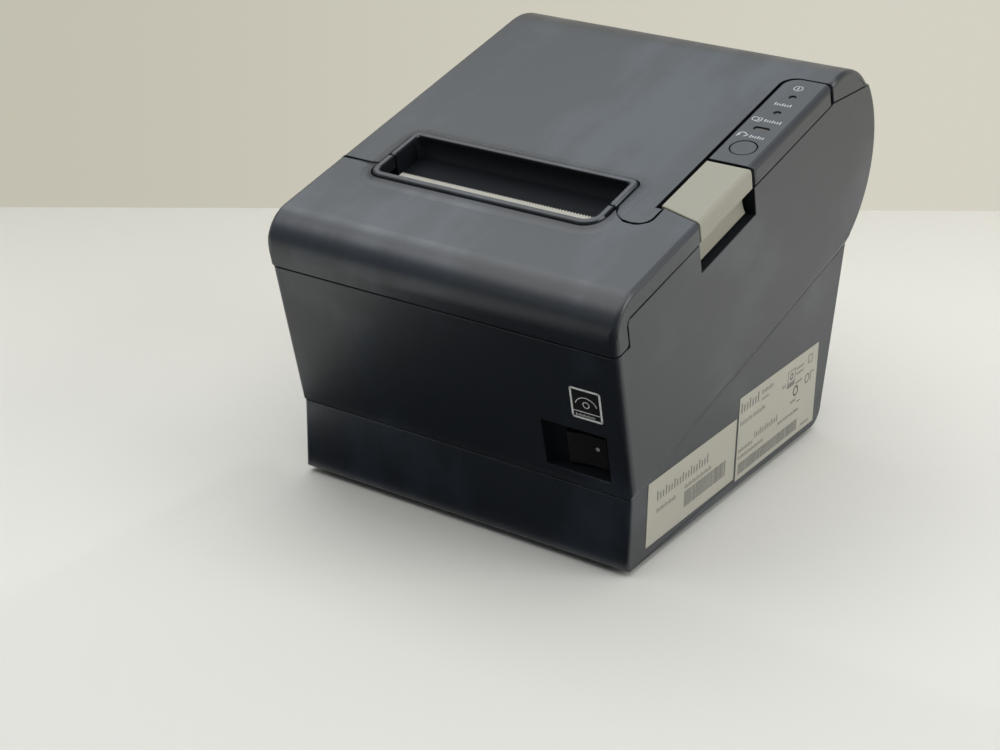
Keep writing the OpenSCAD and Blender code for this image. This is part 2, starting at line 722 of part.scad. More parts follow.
module roll_cover() {
    color(charcoal) difference() {
        union() {
            // deck plate with its side lips, down to the seam
            intersection() {
                across(-cover_x, cover_x) difference() {
                    roll_cover_skin(0);
                    translate([-200, -50]) square([400, 50]);
                    polygon([deck_pt(-120, -lip_drop), [rear_y, lip_h], [150, lip_h], [150, -50],
                        [-150, -50]]);
                }
                deck() translate([0, 0, -60]) linear_extrude(120) roll_cover_plan();
                union() {
                    across(-cover_x, cover_x) difference() {
                        square(400, center = true);
                        roll_cover_skin(wall);
                    }
                    block([-cover_x, -150, 0], [-cover_x + wall, 150, 200]);
                    block([cover_x - wall, -150, 0], [cover_x, 150, 200]);
                    // flange along the lever and the panel
                    deck() difference() {
                        block([edge_x - wall, lever_front_in - 2, -lip_drop],
                            [cover_x, panel_rear + seam + wall, 0]);
                        block([edge_x, -200, -50], [cover_x + 1, panel_rear + seam, 50]);
                    }
                }
            }
            // rear wall between the side walls of the case, down to the hinge
            intersection() {
                across(-case_in + 0.4, case_in - 0.4) difference() {
                    intersection() {
                        roll_cover_skin(0);
                        polygon([[rear_y + 5, 150], [150, 150], [150, hinge_z - 1],
                            [hinge_y, hinge_z - 1], [rear_y + 5, rear_axis_h + 10]]);
                    }
                    roll_cover_skin(wall);
                }
                union() {
                    block([-barrel_x, 0, 0], [barrel_x, 150, 200]);
                    block([-case_in + 0.4, 0, hinge_z + 8], [case_in - 0.4, 150, 200]);
                }
            }
            rod(-barrel_x, barrel_x, barrel_r, hinge_y, hinge_z);
            // pocket of the paper slot
            deck() difference() {
                block([slot_x0 - 1.8, rim_split + seam / 2, -pocket_n - 1.5],
                    [slot_x1 + 1.8, slot_rear + 1.8, -0.5]);
                block([slot_x0, rim_split - 1, -pocket_n], [slot_x1, slot_rear, 1]);
            }
            deck() translate([0, 0, -1]) linear_extrude(1 + rim_h) intersection() {
                rim_plan();
                rect([-cover_x, rim_split + seam / 2], [cover_x, 0]);
            }
            // ribs inside the rear wall that stiffen it down to the hinge
            for (x = [-50, -20, 20, 50]) across(x - 0.8, x + 0.8) difference() {
                intersection() {
                    difference() {
                        roll_cover_skin(wall - 0.1);
                        roll_cover_skin(wall + 4);
                    }
                    polygon([[rear_y + 12, 150], [150, 150], [150, hinge_z],
                        [hinge_y - 2, hinge_z], [rear_y + 12, rear_axis_h + 22]]);
                }
            }
        }
        rod(-80, 80, hinge_r + run_fit, hinge_y, hinge_z);
    }
}

// Control panel: a cap over the right edge, with holes for the button and the indicators
module panel_plan() {
    difference() {
        rect([lever_x, lever_rear + seam + 0.4], [cover_x, panel_rear]);
        corner_cut([lever_x, panel_rear], panel_r, -1, 1);
    }
}

led_x = (lever_x + cover_x) / 2 - 0.8;

module led_outline(grow) {
    hull_x = 1.7;
    rect([led_x - hull_x, led_t - led_r - grow], [led_x + hull_x, led_t + led_r + grow]);
    for (s = [-1, 1]) translate([led_x + s * hull_x, led_t]) circle(led_r + grow);
    for (k = [1, 2]) translate([led_x, led_t + k * led_pitch]) circle(led_r + grow);
}

module control_panel() {
    color(charcoal) deck() difference() {
        translate([0, 0, -lip_drop]) linear_extrude(lip_drop) panel_plan();
        translate([0, 0, -wall - 50]) linear_extrude(50) difference() {
            rect([lever_x + 1.4, lever_rear], [cover_x - wall, panel_rear - 1.4]);
            corner_cut([lever_x + 1.4, panel_rear - 1.4], panel_r, -1, 1);
        }
        translate([0, 0, -10]) linear_extrude(20) led_outline(0);
        translate([led_x, button_t, -10]) cylinder(r = button_r + 0.25, h = 20);
    }
}

module feed_button() {
    color(charcoal) deck() translate([led_x, button_t, 0]) {
        translate([0, 0, -wall - 0.5]) cylinder(r = button_r, h = wall + 0.4);
        translate([0, 0, -wall - 0.8]) cylinder(r = button_r + 0.9, h = 0.6);
    }
}

module indicator_lenses() {
    color([0.25, 0.32, 0.28]) deck() translate([0, 0, -board_top])
        linear_extrude(board_top - 0.5) led_outline(-0.08);
}
board_top = 5.2;

module panel_board() {
    color(green) deck() {
        block([lever_x + 1.8, lever_rear + 6, -board_top - board], [case_in - 0.4, panel_rear - 6, -board_top]);
        // push switch under the button
        block([led_x - 2.5, button_t - 2.5, -board_top - 0.1],
            [led_x + 2.5, button_t + 2.5, -wall - 0.8 - button_travel - clear]);
    }
}

// ---------------------------------------------------------------- lever and latch

// Front edge of the lever at a distance across
function lever_front(x) = lever_front_in + (lever_front_out - lever_front_in) * (x - lever_x) / strip_w;

module lever_plan(grow) {
    polygon([[lever_x - grow, lever_rear + grow], [cover_x, lever_rear + grow],
        [cover_x, lever_front_out - grow], [lever_x - grow, lever_front_in - grow]]);
}

// Hollow under the lever's band
scoop_r = 14;
scoop_x = cover_x - 4.6 + scoop_r;
scoop_n = -13.5;

module cover_lever() {
    color(pale) deck() difference() {
        intersection() {
            union() {
                translate([0, 0, -wall]) linear_extrude(wall) lever_plan(0);
                translate([0, 0, -lip_drop]) linear_extrude(lip_drop - 1) intersection() {
                    lever_plan(0);
                    rect([cover_x - wall, -100], [cover_x, 0]);
                }
                // hollow wall under the band that the fingertips reach into
                intersection() {
                    translate([0, 0, -recess_n + 1]) linear_extrude(recess_n - 2) intersection() {
                        lever_plan(0);
                        rect([recess_x + 1, -100], [cover_x - 1, lever_rear]);
                    }
                    translate([0, lever_rear, 0]) rotate([90, 0, 0]) linear_extrude(40) difference() {
                        translate([scoop_x, scoop_n]) circle(scoop_r + 1.6);
                        translate([scoop_x, scoop_n]) circle(scoop_r);
                    }
                }
                // boss for the pin
                across(lever_x + 4, case_in - 3) union() {
                    translate([pin_t, pin_n]) circle(lever_pin_r + 1.2);
                    rect([pin_t - 1.8, pin_n], [pin_t + 1.8, -1]);
                }
            }
            // room that the lever has in its strip when it is lifted
            translate([0, pin_t, pin_n]) rotate([lever_lift, 0, 0]) translate([0, -pin_t, -pin_n])
                translate([0, 0, -recess_n - 8]) linear_extrude(recess_n + 30) lever_plan(clear);
        }
        rod(0, case_in + 0.1, lever_pin_r + run_fit, pin_t, pin_n);
        // room for the bearing beside the band
        block([case_in - 2 - clear, pin_t - 3.4, pin_n - 3.6], [case_in + 0.25, 0, -wall]);
        // gap for the spring's coil
        block([lever_x + 8, pin_t - 3.4, pin_n - 4], [lever_x + 11.5, pin_t + 3.4, -wall]);
    }
}

module lever_pin() {
    color(steel) deck() rod(bearing_x, case_in, lever_pin_r, pin_t, pin_n);
}

module lever_spring() {
    color(steel) deck() translate([lever_x + 8.4, pin_t, pin_n]) rotate([0, 90, 0])
        coil(lever_pin_r + 0.5, 0.25, 4, 2.6);
}

// Steel hook under the lever, with its nose over the platen's shaft
shaft_end = edge_x - 0.4;
module latch_hook() {
    nose_n = -platen_n + shaft_r + clear;
    nose_t = platen_t - 1;
    x0 = lever_x + 0.9;
    color(steel) deck() {
        block([x0, lever_front_in + 2, -wall - sheet], [x0 + 7, lever_front_in + 12, -wall]);
        block([x0, lever_front_in + 2, -15], [x0 + sheet, lever_front_in + 12, -wall]);
        block([x0, nose_t - 4, -15], [x0 + sheet, lever_front_in + 12, -9.5]);
        block([x0, nose_t - 4, nose_n], [x0 + sheet, nose_t - 1.8, -9.5]);
        block([shaft_end - 2.4, nose_t - 4, nose_n], [x0 + sheet, nose_t, nose_n + 2]);
    }
}

// ---------------------------------------------------------------- power switch

module power_rocker() {
    color(dark) deck() translate([(rocker_x0 + rocker_x1) / 2, rocker_axis_t, 0]) rotate([0, 0, rocker_tilt])
        translate([0, 0, rocker_n0]) difference() {
            linear_extrude(rocker_h) difference() {
                rect([-rocker_w / 2 + 0.4, -4.6], [rocker_w / 2 - 0.4, 1.5]);
                translate([0, -35]) circle(31);
            }
            translate([0, 0, -1]) cylinder(r = 1 + run_fit, h = rocker_h + 2);
        }
}
rocker_axis_t = case_t + switch_d + 3.5;

module power_switch_body() {
    color(dark) deck() {
        t0 = case_t + switch_d + 1.8;
        difference() {
            block([rocker_x0 - 0.6, t0, rocker_n0 - 1.6], [rocker_x1 + 0.6, t0 + 16, rocker_n1 + 1.6]);
            block([rocker_x0, t0 - 1, rocker_n0 - clear], [rocker_x1, t0 + 6.5, rocker_n1 + clear]);
        }
        translate([(rocker_x0 + rocker_x1) / 2, rocker_axis_t, rocker_n0 - 1])
            cylinder(r = 1, h = rocker_h + 2);
        for (x = [rocker_x0 + 3, rocker_x1 - 3]) block([x - 0.4, t0 + 15, rocker_n0 + 4],
            [x + 0.4, t0 + 21, rocker_n0 + 9]);
    }
}

// ---------------------------------------------------------------- base and frame

module rubber_feet() {
    color(dark) for (s = [-1, 1], y = foot_y) translate([s * foot_x, y, 0])
        cylinder(r = foot_r, h = foot_h + 0.5);
}

module case_screws() {
    color(steel) for (s = [-1, 1], y = screw_y) translate([s * screw_x, y, 0]) {
        translate([0, 0, screw_seat - 2.4]) cylinder(r = 2.7, h = 2.4);
        translate([0, 0, screw_seat - 0.1]) cylinder(r = 1.5, h = screw_top(y) + 9 - screw_seat);
    }
}

chassis_x = 59.8;
chassis_y = [-72, 49];
module chassis_plate() {
    color(steel) difference() {
        block([-chassis_x, chassis_y[0], chassis_z], [chassis_x, chassis_y[1], frame_z]);
        for (s = [-1, 1], y = post_y) translate([s * post_x, y, 0]) cylinder(r = 1.7, h = 50);
        // openings for the cables
        for (x = [-20, 24]) block([x, -10, chassis_z - 1], [x + 18, 6, frame_z + 1]);
    }
}

module chassis_screws() {
    color(steel) for (s = [-1, 1], y = post_y) translate([s * post_x, y, 0]) {
        translate([0, 0, frame_z]) cylinder(r = 2.6, h = 1.8);
        translate([0, 0, chassis_z - 7]) cylinder(r = 1.5, h = 7 + sheet + 0.1);
    }
}

// Side of the sheet-metal frame, in world y and z
frame_front = -70;
frame_rear = -16;
frame_t = [-76, -36];
module frame_side() {
    polygon([[frame_front, frame_z], [frame_rear, frame_z], [frame_rear, frame_z + 40],
        deck_pt(frame_t[1] + 3, frame_n - 10), deck_pt(frame_t[1], frame_n),
        deck_pt(frame_t[0], frame_n), deck_pt(frame_t[0], frame_n - 30)]);
}

// Places a side outline given in the deck's frame into world y and z
module deck_side() { translate([0, deck_z]) rotate(slope) children(); }

module mech_frame() {
    color(steel) {
        for (s = [-1, 1]) across(s < 0 ? paper_x - cheek_x - sheet : paper_x + cheek_x,
            s < 0 ? paper_x - cheek_x : paper_x + cheek_x + sheet) difference() {
            frame_side();
            // notch that takes the platen's bush
            deck_side() translate(platen_c) {
                circle(bush_r + clear);
                rotate(atan2(lift_dir[1], lift_dir[0])) polygon([[0, bush_r + clear],
                    [30, bush_r + clear], [30, -bush_r - clear - 4], [0, -bush_r - clear]]);
            }
            deck_side() translate([pivot_t, pivot_n]) circle(pivot_r + fixed_fit);
            if (s < 0) {
                deck_side() translate(idler_c) circle(2 + fixed_fit);
                deck_side() translate(pinion_c) circle(5 + fixed_fit);
            }
        }
        difference() {
            block([paper_x - cheek_x - sheet, frame_front, frame_z],
                [paper_x + cheek_x + sheet, frame_rear, frame_z + sheet]);
            block([-30, frame_front + 12, frame_z - 1], [20, frame_rear - 14, frame_z + 5]);
        }
    }
}

bin_x = paper_w / 2 + 2;
bin_in = roll_r + bin_clear;
module roll_bin() {
    out = bin_in + bin_wall;
    leg = [22, 42];
    color(dark) difference() {
        union() {
            across(paper_x - bin_x - bin_wall, paper_x + bin_x + bin_wall) difference() {
                union() {
                    translate([bin_y, bin_h]) circle(out);
                    polygon([[bin_y - out, bin_h], [bin_y - out - 6, bin_h + 12],
                        [bin_y - 40, bin_h + 24], [bin_y + 18, bin_h + 32], [bin_y + 38, bin_h + 16],
                        [bin_y + out, bin_h + 4], [bin_y + out, bin_h], [bin_y, bin_h - 10]]);
                }
                translate([-100, bin_h + 32]) square(200);
                // the circle's top between the end walls
                difference() {
                    rect([bin_y - out, bin_h], [bin_y + out + 1, bin_h + out]);
                    polygon([[bin_y - out - 1, bin_h - 1], [bin_y - out, bin_h], [bin_y - out - 6, bin_h + 12],
                        [bin_y - 40, bin_h + 24], [bin_y + 18, bin_h + 32], [bin_y + 38, bin_h + 16],
                        [bin_y + out, bin_h + 4], [bin_y + out, bin_h - 1]]);
                }
            }
            for (x = [-34, 22]) block([x - 3, leg[0], frame_z], [x + 3, leg[1], bin_h - out + 3]);
        }
        // room for the roll
        across(paper_x - bin_x, paper_x + bin_x) union() {
            translate([bin_y, bin_h]) circle(bin_in);
            polygon([[bin_y - bin_in, bin_h], [bin_y - bin_in - 6, bin_h + 12.1],
                [bin_y - bin_in - 6, bin_h + 60], [bin_y + bin_in, bin_h + 60], [bin_y + bin_in, bin_h]]);
        }
        rod(paper_x - bin_x - 10, paper_x - bin_x + 1, 4, sensor_y, sensor_z);
    }
}
sensor_y = bin_y + 4;
sensor_z = bin_h - 14;

module near_end_sensor() {
    x = paper_x - bin_x - bin_wall;
    color(dark) {
        block([x - 6, sensor_y - 6, sensor_z - 6], [x, sensor_y + 6, sensor_z + 6]);
        rod(x - 0.1, x + bin_wall - 0.4, 3.6, sensor_y, sensor_z);
    }
}

module hinge_pin() {
    color(steel) rod(-case_in - 1, case_in + 1, hinge_r, hinge_y, hinge_z);
}

// ---------------------------------------------------------------- print mechanism

module platen_rubber() {
    color(dark) deck() difference() {
        rod(paper_x - rubber_x, paper_x + rubber_x, platen_r, platen_t, -platen_n);
        rod(-100, 100, shaft_r + fixed_fit, platen_t, -platen_n);
    }
}

module platen_shaft() {
    color(steel) deck() rod(gear_x - gear_w - 1, shaft_end, shaft_r, platen_t, -platen_n);
}

module platen_gear() {
    color([0.9, 0.9, 0.86]) deck() translate([0, platen_t, -platen_n]) difference() {
        across(gear_x - gear_w, gear_x) difference() {
            gear_outline(platen_teeth);
            circle(shaft_r + fixed_fit);
        }
    }
}

module platen_bushes() {
    color([0.75, 0.6, 0.35]) deck() for (s = [-1, 1]) difference() {
        rod(paper_x + (s < 0 ? -cheek_x - sheet - 1.4 : holder_x - 0.4),
            paper_x + (s < 0 ? -holder_x + 0.4 : cheek_x + sheet + 1.4), bush_r, platen_t, -platen_n);
        rod(-100, 100, shaft_r + run_fit, platen_t, -platen_n);
    }
}

holder_top = -pocket_n - 2.6;
module platen_holder() {
    back = slot_rear + 1.8;
    color(dark) deck() difference() {
        union() {
            block([paper_x - holder_x - sheet, back, -platen_n - 6],
                [paper_x + holder_x + sheet, back + sheet, -wall]);
            for (s = [-1, 1]) across(paper_x + (s < 0 ? -holder_x - sheet : holder_x),
                paper_x + (s < 0 ? -holder_x : holder_x + sheet))
                polygon([[back + 0.1, -platen_n - 6], [platen_t - 3, -platen_n - bush_r - 1.5],
                    [platen_t - bush_r - 1.5, -platen_n - 3], [platen_t - bush_r - 1.5, holder_top],
                    [back + 0.1, holder_top]]);
        }
        rod(-100, 100, bush_r + fixed_fit, platen_t, -platen_n);
    }
}

module fixed_blade() {
    top = -pocket_n - 1.5;
    color(steel) deck() block([paper_x - rubber_x - 1, head_t + 0.7, top - 1],
        [paper_x + rubber_x + 1, platen_t + 2.7, top]);
}

blade_x = rubber_x + 1.6;
module moving_blade() {
    color(steel) deck() translate([paper_x, 0, blade_n]) linear_extrude(0.8) difference() {
        union() {
            rect([-blade_x, blade_edge - 12], [blade_x, blade_edge]);
            rect([-8, crank_c[1] - 9], [9, blade_edge - 10]);
        }
        // slot for the crank's pin, with room for its swing
        rect([-crank_pin_r - 0.5, crank_c[1] - crank_r - crank_pin_r - 1.1],
            [crank_r + crank_pin_r + 0.5, crank_c[1] - crank_r + crank_pin_r + 1.1]);
    }
}

module cutter_frame() {
    color(steel) deck() {
        difference() {
            block([paper_x - cheek_x - sheet, crank_c[1] - 17, frame_n],
                [paper_x + cheek_x + sheet, blade_edge - 2.5, plate_n]);
            translate([cutter_c[0], cutter_c[1], frame_n - 1]) cylinder(r = 3.2, h = 3);
        }
        translate([crank_c[0], crank_c[1], plate_n - 0.1]) cylinder(r = 2, h = 2.2);
        // guides beside and below the blade
        for (s = [-1, 1]) translate([paper_x, 0, 0]) {
            block([s < 0 ? -blade_x - 2.6 : blade_x + 0.4, blade_edge - 16, plate_n - 0.1],
                [s < 0 ? -blade_x - 0.4 : blade_x + 2.6, blade_edge - 2.5, blade_n + 1.4]);
            block([s < 0 ? -blade_x - 2 : blade_x - 2, blade_edge - 16, plate_n - 0.1],
                [s < 0 ? -blade_x + 2 : blade_x + 2, blade_edge - 2.5, blade_n - clear]);
        }
    }
}

module cutter_crank_gear() {
    color([0.9, 0.9, 0.86]) deck() translate([crank_c[0], crank_c[1], plate_n + clear]) {
        linear_extrude(1.8) difference() {
            rotate(-90) gear_outline(crank_teeth);
            circle(2 + run_fit);
        }
        translate([0, -crank_r, 1.7]) cylinder(r = crank_pin_r, h = 1.9);
    }
}

cutter_turn = mesh_turn(cutter_dir, -90, crank_teeth, cutter_pinion_teeth);
module cutter_pinion() {
    color(steel) deck() translate([cutter_c[0], cutter_c[1], 0]) {
        translate([0, 0, plate_n + clear]) linear_extrude(1.8) rotate(cutter_turn)
            gear_outline(cutter_pinion_teeth);
        translate([0, 0, frame_n - 8]) cylinder(r = 1.2, h = 15.4);
    }
}

module cutter_knob() {
    color([0.2, 0.45, 0.6]) deck() translate([cutter_c[0], cutter_c[1], -8.6]) difference() {
        linear_extrude(3.4) difference() {
            circle(5);
            for (k = [0:15]) rotate(k * 22.5) translate([5.2, 0]) circle(0.6, $fn = 16);
        }
        translate([0, 0, -1]) cylinder(r = 1.2 + fixed_fit, h = 10);
    }
}

module cutter_motor() {
    color([0.5, 0.5, 0.52]) deck() translate([cutter_c[0], cutter_c[1], 0]) difference() {
        union() {
            translate([0, 0, frame_n - cutter_motor_l]) cylinder(r = cutter_motor_r, h = cutter_motor_l);
            translate([0, 0, frame_n - 0.1]) cylinder(r = 3, h = 0.8);
        }
        translate([0, 0, frame_n - 9]) cylinder(r = 1.2 + run_fit, h = 12);
    }
}

module tear_bar() {
    half = paper_w / 2 + 0.9;
    tip = slot_front + tear_reach;
    pitch = 2 * half / tear_teeth;
    color(steel) deck() translate([paper_x, 0, -tear_n - 0.6]) linear_extrude(0.6)
        polygon(concat([[half, slot_front - rim_w], [-half, slot_front - rim_w]],
            [for (k = [0:tear_teeth - 1], e = [0, 0.5]) [-half + (k + e) * pitch, tip - (e == 0 ? 0.9 : 0)]],
            [[half, tip - 0.9]]));
}

module thermal_head() {
    color([0.55, 0.42, 0.3]) deck() block([paper_x - rubber_x + 1, head_t - 1, pivot_n + 6],
        [paper_x + rubber_x - 1, head_t, -platen_n + 6]);
}

module head_heatsink() {
    color([0.75, 0.76, 0.78]) deck() difference() {
        across(paper_x - rubber_x + 1, paper_x + rubber_x - 1) difference() {
            union() {
                rect([head_t - 6, pivot_n], [head_t - 1, frame_n - 1.3]);
                translate([pivot_t, pivot_n]) circle(3);
            }
            translate([pivot_t, pivot_n]) circle(pivot_r + run_fit);
        }
        for (k = [-5:5]) block([paper_x + k * 7 - 1.6, head_t - 8, pivot_n + 17],
            [paper_x + k * 7 + 1.6, head_t - 4, 0]);
    }
}

module head_pivot_pin() {
    color(steel) deck() rod(paper_x - cheek_x - sheet, paper_x + cheek_x + sheet, pivot_r, pivot_t, pivot_n);
}

bar_t = head_t - 11.5;
module head_spring_bar() {
    color(steel) deck() block([paper_x - cheek_x, bar_t - sheet, -34], [paper_x + cheek_x, bar_t, -18]);
}

module head_springs() {
    gap = 0.5;
    color(steel) deck() for (s = [-1, 1]) translate([paper_x + s * 21, bar_t, -26.5]) rotate([-90, 0, 0])
        coil(2.4, 0.3, 4, head_t - 6 - gap - bar_t);
}

module feed_motor() {
    x = paper_x - cheek_x;
    color([0.5, 0.5, 0.52]) deck() translate([0, pinion_c[0], pinion_c[1]]) difference() {
        union() {
            rod(x, x + feed_motor_l, feed_motor_r, 0, 0);
            rod(x - sheet - 0.4, x + 1, 5, 0, 0);
            block([x, -feed_motor_r - 3, -3.5], [x + 1, feed_motor_r + 3, 3.5]);
        }
        rod(x - 5, x + 8, 1.5 + run_fit, 0, 0);
    }
}

idler_turn = mesh_turn(-lift_dir, 0, platen_teeth, idler_teeth);
pinion_turn = mesh_turn(motor_dir, idler_turn, idler_teeth, pinion_teeth);
module feed_pinion() {
    color(steel) deck() translate([0, pinion_c[0], pinion_c[1]]) {
        across(gear_x - gear_w, gear_x) rotate(pinion_turn) gear_outline(pinion_teeth);
        rod(gear_x - gear_w - 1, paper_x - cheek_x + 7, 1.5, 0, 0);
    }
}

module idler_gear() {
    color([0.9, 0.9, 0.86]) deck() translate([0, idler_c[0], idler_c[1]])
        across(gear_x - gear_w, gear_x) difference() {
            rotate(idler_turn) gear_outline(idler_teeth);
            circle(2 + run_fit);
        }
}

module idler_stud() {
    color(steel) deck() translate([0, idler_c[0], idler_c[1]]) {
        rod(gear_x - gear_w - 1.4, paper_x - cheek_x, 2, 0, 0);
        rod(gear_x - gear_w - 1.4, gear_x - gear_w - clear, 3.2, 0, 0);
        rod(gear_x + clear, paper_x - cheek_x - sheet, 3.2, 0, 0);
    }
}

// A curved guide under the platen on a bar between the frame's sides
module paper_guide() {
    inner = platen_r + 1.8;
    color(dark) deck() {
        across(paper_x - rubber_x - 1, paper_x + rubber_x + 1) intersection() {
            translate(platen_c) difference() {
                circle(inner + 1.5);
                circle(inner);
            }
            translate(platen_c) polygon([[0, 0], [-9, -12], [-9, -20], [10, -20], [14, -7]]);
        }
        across(paper_x - cheek_x, paper_x + cheek_x)
            rect([platen_t - 2.5, -platen_n - inner - 4.5], [platen_t + 3, -platen_n - inner - 1]);
    }
}

module paper_end_sensor() {
    top = -platen_n - platen_r - 3;
    color(dark) deck() block([paper_x - 6, platen_t + 3, top - 5], [paper_x + 4, platen_t + 8, top - 1.4]);
}

// ---------------------------------------------------------------- boards and sockets

board_t = main_z + board;
inlet_x = 33;
inlet_z = 22;
drawer_x = 13;
option_z = board_t + 4;
usb_x = -8;
serial_x = -36;

module main_board() {
    color(green) difference() {
        block([-main_x, main_y[0], main_z], [main_x, bay_y - 0.5, board_t]);
        for (s = [-1, 1], y = main_y) translate([s * main_screw_x, y * 0.92, 0])
            cylinder(r = 1.2, h = 40);
    }
}

module board_screws() {
    color(steel) for (s = [-1, 1], y = main_y) translate([s * main_screw_x, y * 0.92, 0]) {
        translate([0, 0, board_t]) cylinder(r = 2.2, h = 1.4);
        translate([0, 0, main_z - 5]) cylinder(r = 1, h = 5.1 + board);
    }
}

module board_components() {
    color([0.15, 0.15, 0.17]) {
        // capacitors
        for (k = [0:2]) translate([-38 + k * 13, -54, board_t]) cylinder(r = 5, h = 14);
        translate([30, -54, board_t]) cylinder(r = 6.2, h = 15);
        // chips
        block([-12, -30, board_t], [10, -8, board_t + 2]);
        block([18, -28, board_t], [32, -18, board_t + 1.6]);
        block([-38, -26, board_t], [-24, -12, board_t + 1.6]);
        // driver's heat sink, a coil and the cable headers
        for (k = [0:4]) block([16 + k * 4, -4, board_t + 1], [17.6 + k * 4, 16, board_t + 12]);
        block([16, -4, board_t], [33.6, 16, board_t + 1.5]);
        block([2, 6, board_t], [12, 16, board_t + 8]);
        for (x = [-20, 12]) block([x, -70, board_t], [x + 16, -64, board_t + 7]);
        // header that carries the interface board
        block([-44, 14, board_t], [-14, 19, option_z]);
    }
}

module interface_board() {
    color(green) block([-post_x + post_r + clear, 10, option_z], [0, bay_y - 0.5, option_z + board]);
}

module usb_socket() {
    z = option_z + board;
    color(steel) difference() {
        block([usb_x - 6, bay_y - 15, z], [usb_x + 6, bay_y + sheet + 1.5, z + 10.5]);
        block([usb_x - 4.2, bay_y - 8, z + 1.2], [usb_x + 4.2, bay_y + 10, z + 9]);
    }
}

module serial_socket() {
    z = option_z + board;
    color(steel) difference() {
        union() {
            block([serial_x - 15, bay_y - 13, z], [serial_x + 15, bay_y, z + 11]);
            block([serial_x - 9, bay_y - 1, z + 1], [serial_x + 9, bay_y + sheet + 5, z + 10]);
        }
        block([serial_x - 8, bay_y - 4, z + 2], [serial_x + 8, bay_y + 20, z + 9]);
    }
}

module power_inlet() {
    y1 = bay_y + sheet + 5;
    color(dark) difference() {
        union() {
            block([inlet_x - 8, bay_y - 14, board_t], [inlet_x + 8, bay_y, inlet_z + 7]);
            rod_y(bay_y - 1, y1, inlet_r + 1.8, inlet_x, inlet_z);
        }
        rod_y(y1 - inlet_depth, y1 + 1, inlet_r, inlet_x, inlet_z);
    }
}

module drawer_socket() {
    color(dark) difference() {
        block([drawer_x - 7, bay_y - 14, board_t], [drawer_x + 7, bay_y + sheet + 1.5, board_t + 14]);
        block([drawer_x - 5, bay_y - 9, board_t + 2], [drawer_x + 5, bay_y + 10, board_t + 10]);
        block([drawer_x - 2, bay_y - 9, board_t + 9], [drawer_x + 2, bay_y + 10, board_t + 12]);
    }
}

module rear_plate() {
    z = option_z + board;
    c = 0.2;
    color(steel) difference() {
        block([bay_x[0] + 0.2, bay_y, base_floor + 0.2], [bay_x[1] - 0.2, bay_y + sheet, base_floor + bay_h - 0.2]);
        block([usb_x - 6 - c, bay_y - 1, z - c], [usb_x + 6 + c, bay_y + 5, z + 10.5 + c]);
        block([serial_x - 9 - c, bay_y - 1, z + 1 - c], [serial_x + 9 + c, bay_y + 5, z + 10 + c]);
        block([drawer_x - 7 - c, bay_y - 1, board_t - c], [drawer_x + 7 + c, bay_y + 5, board_t + 14 + c]);
        rod_y(bay_y - 1, bay_y + 5, inlet_r + 1.8 + c, inlet_x, inlet_z);
        for (x = plate_screw_x, z2 = plate_screw_z) rod_y(bay_y - 1, bay_y + 5, 1.6, x, z2);
    }
}

module plate_screws() {
    color(steel) for (x = plate_screw_x, z = plate_screw_z) {
        rod_y(bay_y + sheet, bay_y + sheet + 1.6, 2.6, x, z);
        rod_y(bay_y - 6, bay_y + sheet + 0.1, 1.4, x, z);
    }
}

// ---------------------------------------------------------------- labels

label_th = 0.15;
module front_badge() {
    color(dark) deck() block([51.6, case_t - label_th, -skirt_drop - 29.6], [64, case_t, -skirt_drop - 16.6]);
}

module asset_label() {
    color(cream) block([base_x, -68.5, 7], [base_x + label_th, -3.9, 32]);
}

module rating_label() {
    color(cream) block([base_x, -2.3, 5.5], [base_x + label_th, 63.5, 39.5]);
}

lower_case();
upper_case();
cutter_cover();
roll_cover();
control_panel();
feed_button();
indicator_lenses();
panel_board();
cover_lever();
lever_pin();
lever_spring();
latch_hook();
power_rocker();
power_switch_body();
rubber_feet();
case_screws();
chassis_plate();
chassis_screws();
mech_frame();
roll_bin();
paper_guide();
platen_rubber();
platen_shaft();
platen_gear();
platen_bushes();
platen_holder();
fixed_blade();
moving_blade();
cutter_frame();
cutter_crank_gear();
cutter_pinion();
cutter_knob();
cutter_motor();
tear_bar();
thermal_head();
head_heatsink();
head_pivot_pin();
head_springs();
head_spring_bar();
feed_motor();
feed_pinion();
idler_gear();
idler_stud();
main_board();
board_components();
board_screws();
rear_plate();
interface_board();
power_inlet();
drawer_socket();
usb_socket();
serial_socket();
plate_screws();
hinge_pin();
near_end_sensor();
paper_end_sensor();
front_badge();
asset_label();
rating_label();
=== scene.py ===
import json
import math

import bmesh
import bpy
from mathutils import Matrix, Vector

